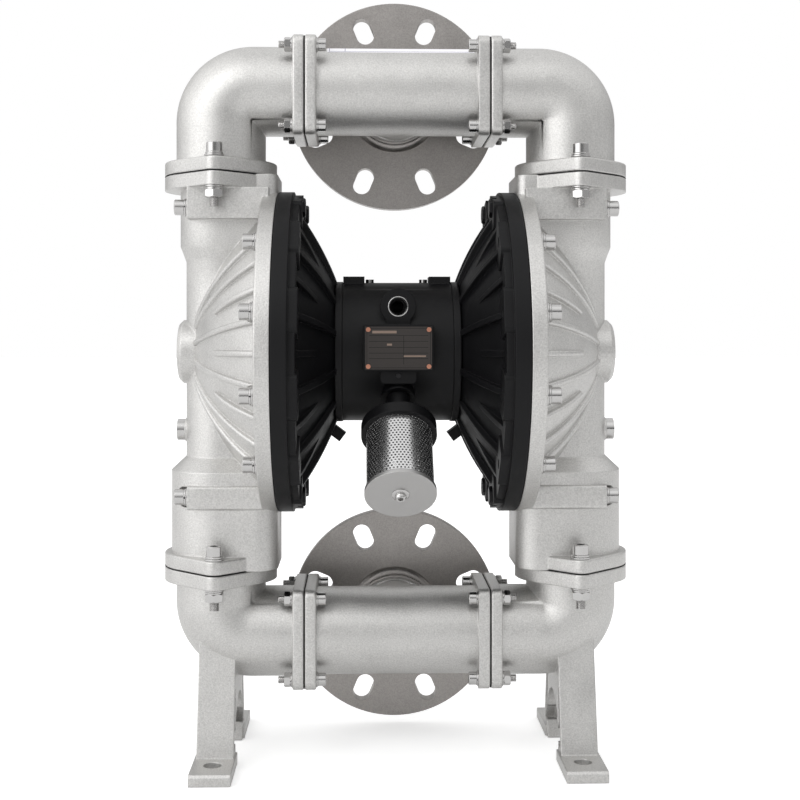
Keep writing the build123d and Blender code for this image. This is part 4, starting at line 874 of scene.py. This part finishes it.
@dataclass
class PipeLabel:
    """A blank white label wrapped over the top of the upper tee."""

    pipe_r: float = 45.0 * MM
    low_x: float = -72.0 * MM
    high_x: float = 80.0 * MM
    front: float = math.radians(36)
    back: float = math.radians(24)
    steps: int = 14
    film: float = 0.12 * MM
    paper_lift: float = 0.05 * MM
    ink_lift: float = 0.13 * MM
    inset: float = 2.0 * MM
    line: float = 0.5 * MM
    divider: float = 0.12

    def patch(self, name: str, low_x: float, high_x: float, front: float, back: float,
              lift: float) -> bpy.types.Object:
        """A piece of film wrapped on the pipe.

        Args:
            name: the new object's name.
            low_x: its left end.
            high_x: its right end.
            front: how far it reaches down to the front, as an angle from the top.
            back: how far it reaches down to the back.
            lift: its height above the pipe.

        Returns:
            The film, with its thickness.
        """
        bpy.ops.object.select_all(action="DESELECT")
        bpy.ops.mesh.primitive_grid_add(x_subdivisions=2, y_subdivisions=self.steps, size=1)
        film = bpy.context.object
        film.name = name
        radius = self.pipe_r + lift
        for vertex in film.data.vertices:
            turn = (vertex.co.y + 0.5) * (front + back) - front
            x = low_x + (vertex.co.x + 0.5) * (high_x - low_x)
            vertex.co = Vector((x, radius * math.sin(turn), PIPE_HEIGHTS[1] + radius * math.cos(turn)))
        use_modifier(film, "SOLIDIFY", thickness=self.film, offset=1)
        smooth(film)
        return film

    def build(self) -> None:
        """Builds the label and its printed border."""
        dress(self.patch("pipe_label", self.low_x, self.high_x, self.front, self.back, self.paper_lift),
              LABEL_PAPER)
        low_x, high_x = self.low_x + self.inset, self.high_x - self.inset
        front, back = self.front - self.inset / self.pipe_r, self.back - self.inset / self.pipe_r
        turn = self.line / self.pipe_r
        split_x = self.low_x + self.divider * (self.high_x - self.low_x)
        edges = [self.patch("edge", low_x, high_x, front, turn - front, self.ink_lift),
                 self.patch("edge", low_x, high_x, turn - back, back, self.ink_lift),
                 self.patch("edge", low_x, low_x + self.line, front, back, self.ink_lift),
                 self.patch("edge", high_x - self.line, high_x, front, back, self.ink_lift),
                 self.patch("edge", split_x, split_x + self.line, front, back, self.ink_lift)]
        dress(joined("pipe_label_border", edges), LABEL_INK)


@dataclass
class AirInlet:
    """The threaded mouth of the air inlet, machined bright."""

    face_y: float = -68.0 * MM
    height: float = 463.0 * MM
    bore_r: float = 9.3 * MM
    mouth_r: float = 10.3 * MM
    pitch: float = 1.8 * MM
    turns: int = 9
    depth: float = 0.75 * MM
    clearance: float = 0.02 * MM
    skin: float = 0.01 * MM
    mouth_h: float = 0.12 * MM
    chamfer: float = 0.3 * MM

    def build(self) -> None:
        """Builds the bright ring at the mouth and the thread behind it."""
        place = facing(Vector((0, self.face_y, self.height)), Vector((0, -1, 0)))
        outer = self.bore_r - self.clearance
        skin, end = outer + self.skin, -self.turns * self.pitch
        profile = [(outer, 0.0)]
        for turn in range(self.turns):
            low = -(turn + 0.5) * self.pitch
            profile += [(outer - self.depth, low), (outer, low - self.pitch / 2)]
        profile += [(skin, end), (skin, 0.0)]
        thread = lathe("inlet_thread", profile, steps=36)
        thread.data.transform(place)
        dress(thread, THREAD_METAL)
        mouth = lathe("inlet_mouth", [(outer, 0), (self.mouth_r, 0),
                                      (self.mouth_r - self.chamfer, self.mouth_h), (outer, self.mouth_h)])
        mouth.data.transform(place)
        dress(mouth, BRIGHT_STEEL)


@dataclass
class JointLines:
    """The dark edges of the flat gaskets in the four two bolt joints."""

    disc_r: float = 58.0 * MM
    ear_r: float = 10.5 * MM
    rim_width: float = 6.0 * MM
    height: float = 0.5 * MM
    proud: float = 0.05 * MM
    disc_sides: int = 48
    bore_sides: int = 64

    def outline(self) -> bpy.types.Object:
        """Makes a thin plate in the joint's outline: one disc and two ears, pulled tight.

        Returns:
            The plate, at the origin.
        """
        discs = []
        for radius, y in ((self.disc_r, 0.0), (self.ear_r, OVAL_EAR_Y), (self.ear_r, -OVAL_EAR_Y)):
            disc = prism("disc", self.disc_sides, radius + self.proud, -self.height / 2, self.height / 2)
            disc.data.transform(Matrix.Translation((0, y, 0)))
            discs.append(disc)
        plate = joined("plate", discs)
        pick(plate)
        bpy.ops.object.mode_set(mode="EDIT")
        bpy.ops.mesh.select_all(action="SELECT")
        bpy.ops.mesh.convex_hull()
        bpy.ops.object.mode_set(mode="OBJECT")
        return plate

    def build(self) -> None:
        """Builds the plate once, hollows it and copies it to the four joints."""
        plate = self.outline()
        cut(plate, prism("bore", self.bore_sides, self.disc_r - self.rim_width, -self.height, self.height))
        smooth(plate)
        copies = [copy_to(plate, Matrix.Translation((side * PIPE_X, 0, height)))
                  for side in SIDES for height in JOINT_HEIGHTS]
        bpy.data.objects.remove(plate)
        dress(joined("joint_lines", copies), RUBBER)


@dataclass
class Welds:
    """The weld beads where the flange necks meet the tees' branches."""

    joint_y: float = 62.0 * MM
    neck_r: float = 44.0 * MM
    bead_r: float = 2.2 * MM
    names: tuple[str, str] = ("suction_weld", "discharge_weld")
    ripple: float = 0.3 * MM
    ripples: int = 60
    bulge: float = 1.3
    sides: int = 10

    def build(self) -> None:
        """Builds one rippled bead round each neck."""
        for name, height in zip(self.names, PIPE_HEIGHTS):
            bpy.ops.object.select_all(action="DESELECT")
            bpy.ops.mesh.primitive_torus_add(major_radius=self.neck_r, minor_radius=self.bead_r,
                                             major_segments=3 * self.ripples, minor_segments=self.sides,
                                             rotation=(math.radians(90), 0, 0),
                                             location=(0, self.joint_y, height))
            bead = bpy.context.object
            bead.name = name
            for vertex in bead.data.vertices:
                turn = math.atan2(vertex.co.y, vertex.co.x)
                swell = 1 + self.ripple / self.neck_r * math.sin(turn * self.ripples)
                vertex.co.x *= swell
                vertex.co.y *= swell
                vertex.co.z *= self.bulge
            bpy.ops.object.transform_apply(location=True, rotation=True, scale=True)
            smooth(bead, degrees=60)
            dress(bead, TURNED_STEEL)


@dataclass(frozen=True)
class Glow:
    """A broad soft light far away, painted on the studio's surround.

    Attributes:
        way: the direction from the pump to its middle.
        edge: the cosine of the angle from its middle at which it fades to nothing.
        level: its brightness in the middle, 1 being white.
    """

    way: tuple[float, float, float]
    edge: float
    level: float


@dataclass
class Studio:
    """The floor, the lights and the camera."""

    floor_size: float = 40.0
    floor_drop: float = 0.5 * MM
    floor_tone: str = "E6E6E6"
    floor_lift: float = 0.5
    floor_mirror: float = 0.16
    camera_place: tuple[float, float, float] = (-36.0 * MM, -1364.0 * MM, 438.0 * MM)
    camera_yaw: float = math.radians(-1.67)
    focal_px: float = 1300.0
    image_px: float = 800.0
    sensor: float = 36.0
    horizon_shift: float = -0.0856
    near: float = 0.05
    far: float = 60.0
    lamp_place: tuple[float, float, float] = (-0.9, -1.2, 1.7)
    lamp_aim: tuple[float, float, float] = (0.0, 0.0, 0.4)
    lamp_size: float = 0.5
    lamp_power: float = 3.4
    base_level: float = 0.07
    glows: tuple[Glow, ...] = (
        Glow((0, 0, 1), 0.0, 0.80),
        Glow((-1, -0.2, 0.15), 0.3, 0.95),
        Glow((1, -0.2, 0.15), 0.3, 0.40),
        Glow((0, 1, 0.2), 0.0, 0.24),
        Glow((0, -0.7, 0.7), 0.7, 0.45),
        Glow((-0.75, -0.65, -0.12), 0.65, 1.42),
    )

    def floor(self) -> None:
        """Adds a pale floor that is white to the camera and keeps the shadow."""
        bpy.ops.object.select_all(action="DESELECT")
        bpy.ops.mesh.primitive_plane_add(size=self.floor_size, location=(0, 0, -self.floor_drop))
        floor = bpy.context.object
        floor.name = "studio_floor"
        paint = bpy.data.materials.new("studio floor")
        paint.use_nodes = True
        tree = paint.node_tree
        tree.nodes.clear()
        rays = add_node(tree, "ShaderNodeLightPath")
        mirrored = add_node(tree, "ShaderNodeMath", {"operation": "MULTIPLY"}, {
            0: rays.outputs["Is Glossy Ray"], 1: self.floor_mirror})
        lift = add_node(tree, "ShaderNodeMath", {"operation": "MULTIPLY_ADD"}, {
            0: rays.outputs["Is Camera Ray"], 1: self.floor_lift, 2: mirrored.outputs["Value"]})
        glow = add_node(tree, "ShaderNodeEmission", inputs={
            "Color": (1.0, 1.0, 1.0, 1.0), "Strength": lift.outputs["Value"]})
        matt = add_node(tree, "ShaderNodeBsdfDiffuse", inputs={"Color": linear(self.floor_tone)})
        both = add_node(tree, "ShaderNodeAddShader", inputs={
            0: glow.outputs["Emission"], 1: matt.outputs["BSDF"]})
        add_node(tree, "ShaderNodeOutputMaterial", inputs={"Surface": both.outputs["Shader"]})
        floor.data.materials.append(paint)

    def world(self) -> None:
        """Sets a surround that is white to the camera and carries the soft lights."""
        world = bpy.data.worlds.new("studio")
        bpy.context.scene.world = world
        world.use_nodes = True
        tree = world.node_tree
        tree.nodes.clear()
        toward = add_node(tree, "ShaderNodeTexCoord").outputs["Generated"]
        level = add_node(tree, "ShaderNodeValue").outputs["Value"]
        level.default_value = self.base_level
        for glow in self.glows:
            cosine = add_node(tree, "ShaderNodeVectorMath", {"operation": "DOT_PRODUCT"}, {
                0: toward, 1: Vector(glow.way).normalized()})
            lobe = add_node(tree, "ShaderNodeMapRange", {"interpolation_type": "SMOOTHSTEP"}, {
                "Value": cosine.outputs["Value"], "From Min": glow.edge, "From Max": 1.0,
                "To Min": 0.0, "To Max": glow.level})
            level = add_node(tree, "ShaderNodeMath", {"operation": "ADD"}, {
                0: level, 1: lobe.outputs["Result"]}).outputs["Value"]
        rays = add_node(tree, "ShaderNodeLightPath")
        seen = add_node(tree, "ShaderNodeMath", {"operation": "MAXIMUM"}, {
            0: rays.outputs["Is Camera Ray"], 1: rays.outputs["Is Transmission Ray"]})
        shown = add_node(tree, "ShaderNodeMath", {"operation": "MAXIMUM"}, {
            0: seen.outputs["Value"], 1: level})
        surround = add_node(tree, "ShaderNodeBackground", inputs={
            "Color": (1.0, 1.0, 1.0, 1.0), "Strength": shown.outputs["Value"]})
        add_node(tree, "ShaderNodeOutputWorld", inputs={"Surface": surround.outputs["Background"]})

    def lamp(self) -> None:
        """Adds the one lamp, soft and high on the left, that draws the highlights and the shadow."""
        light = bpy.data.lights.new("soft_lamp", "AREA")
        light.shape = "SQUARE"
        light.size = self.lamp_size
        light.energy = self.lamp_power
        holder = bpy.data.objects.new(light.name, light)
        holder.location = self.lamp_place
        way = Vector(self.lamp_aim) - holder.location
        holder.rotation_euler = way.to_track_quat("-Z", "Y").to_euler()
        bpy.context.scene.collection.objects.link(holder)

    def camera(self) -> None:
        """Sets the camera level, a little left of the middle and turned to the right."""
        lens = bpy.data.cameras.new("camera")
        lens.sensor_width = self.sensor
        lens.lens = self.focal_px / self.image_px * self.sensor
        lens.shift_y = self.horizon_shift
        lens.clip_start, lens.clip_end = self.near, self.far
        holder = bpy.data.objects.new("camera", lens)
        holder.location = self.camera_place
        holder.rotation_euler = (math.radians(90), 0, self.camera_yaw)
        bpy.context.scene.collection.objects.link(holder)
        bpy.context.scene.camera = holder

    def build(self) -> None:
        """Builds the whole studio."""
        bpy.context.scene.view_settings.view_transform = "Standard"
        self.floor()
        self.world()
        self.lamp()
        self.camera()


def main() -> None:
    """Builds the looks of the pump around its CAD frame."""
    logging.basicConfig(level=logging.INFO, format="%(message)s")
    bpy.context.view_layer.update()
    for assembly in (Castings(), Fasteners(), Muffler(), Nameplate(), PipeLabel(), AirInlet(), JointLines(),
                     Welds(), Studio()):
        LOG.info("building %s", type(assembly).__name__)
        assembly.build()


if __name__ == "__main__":
    main()
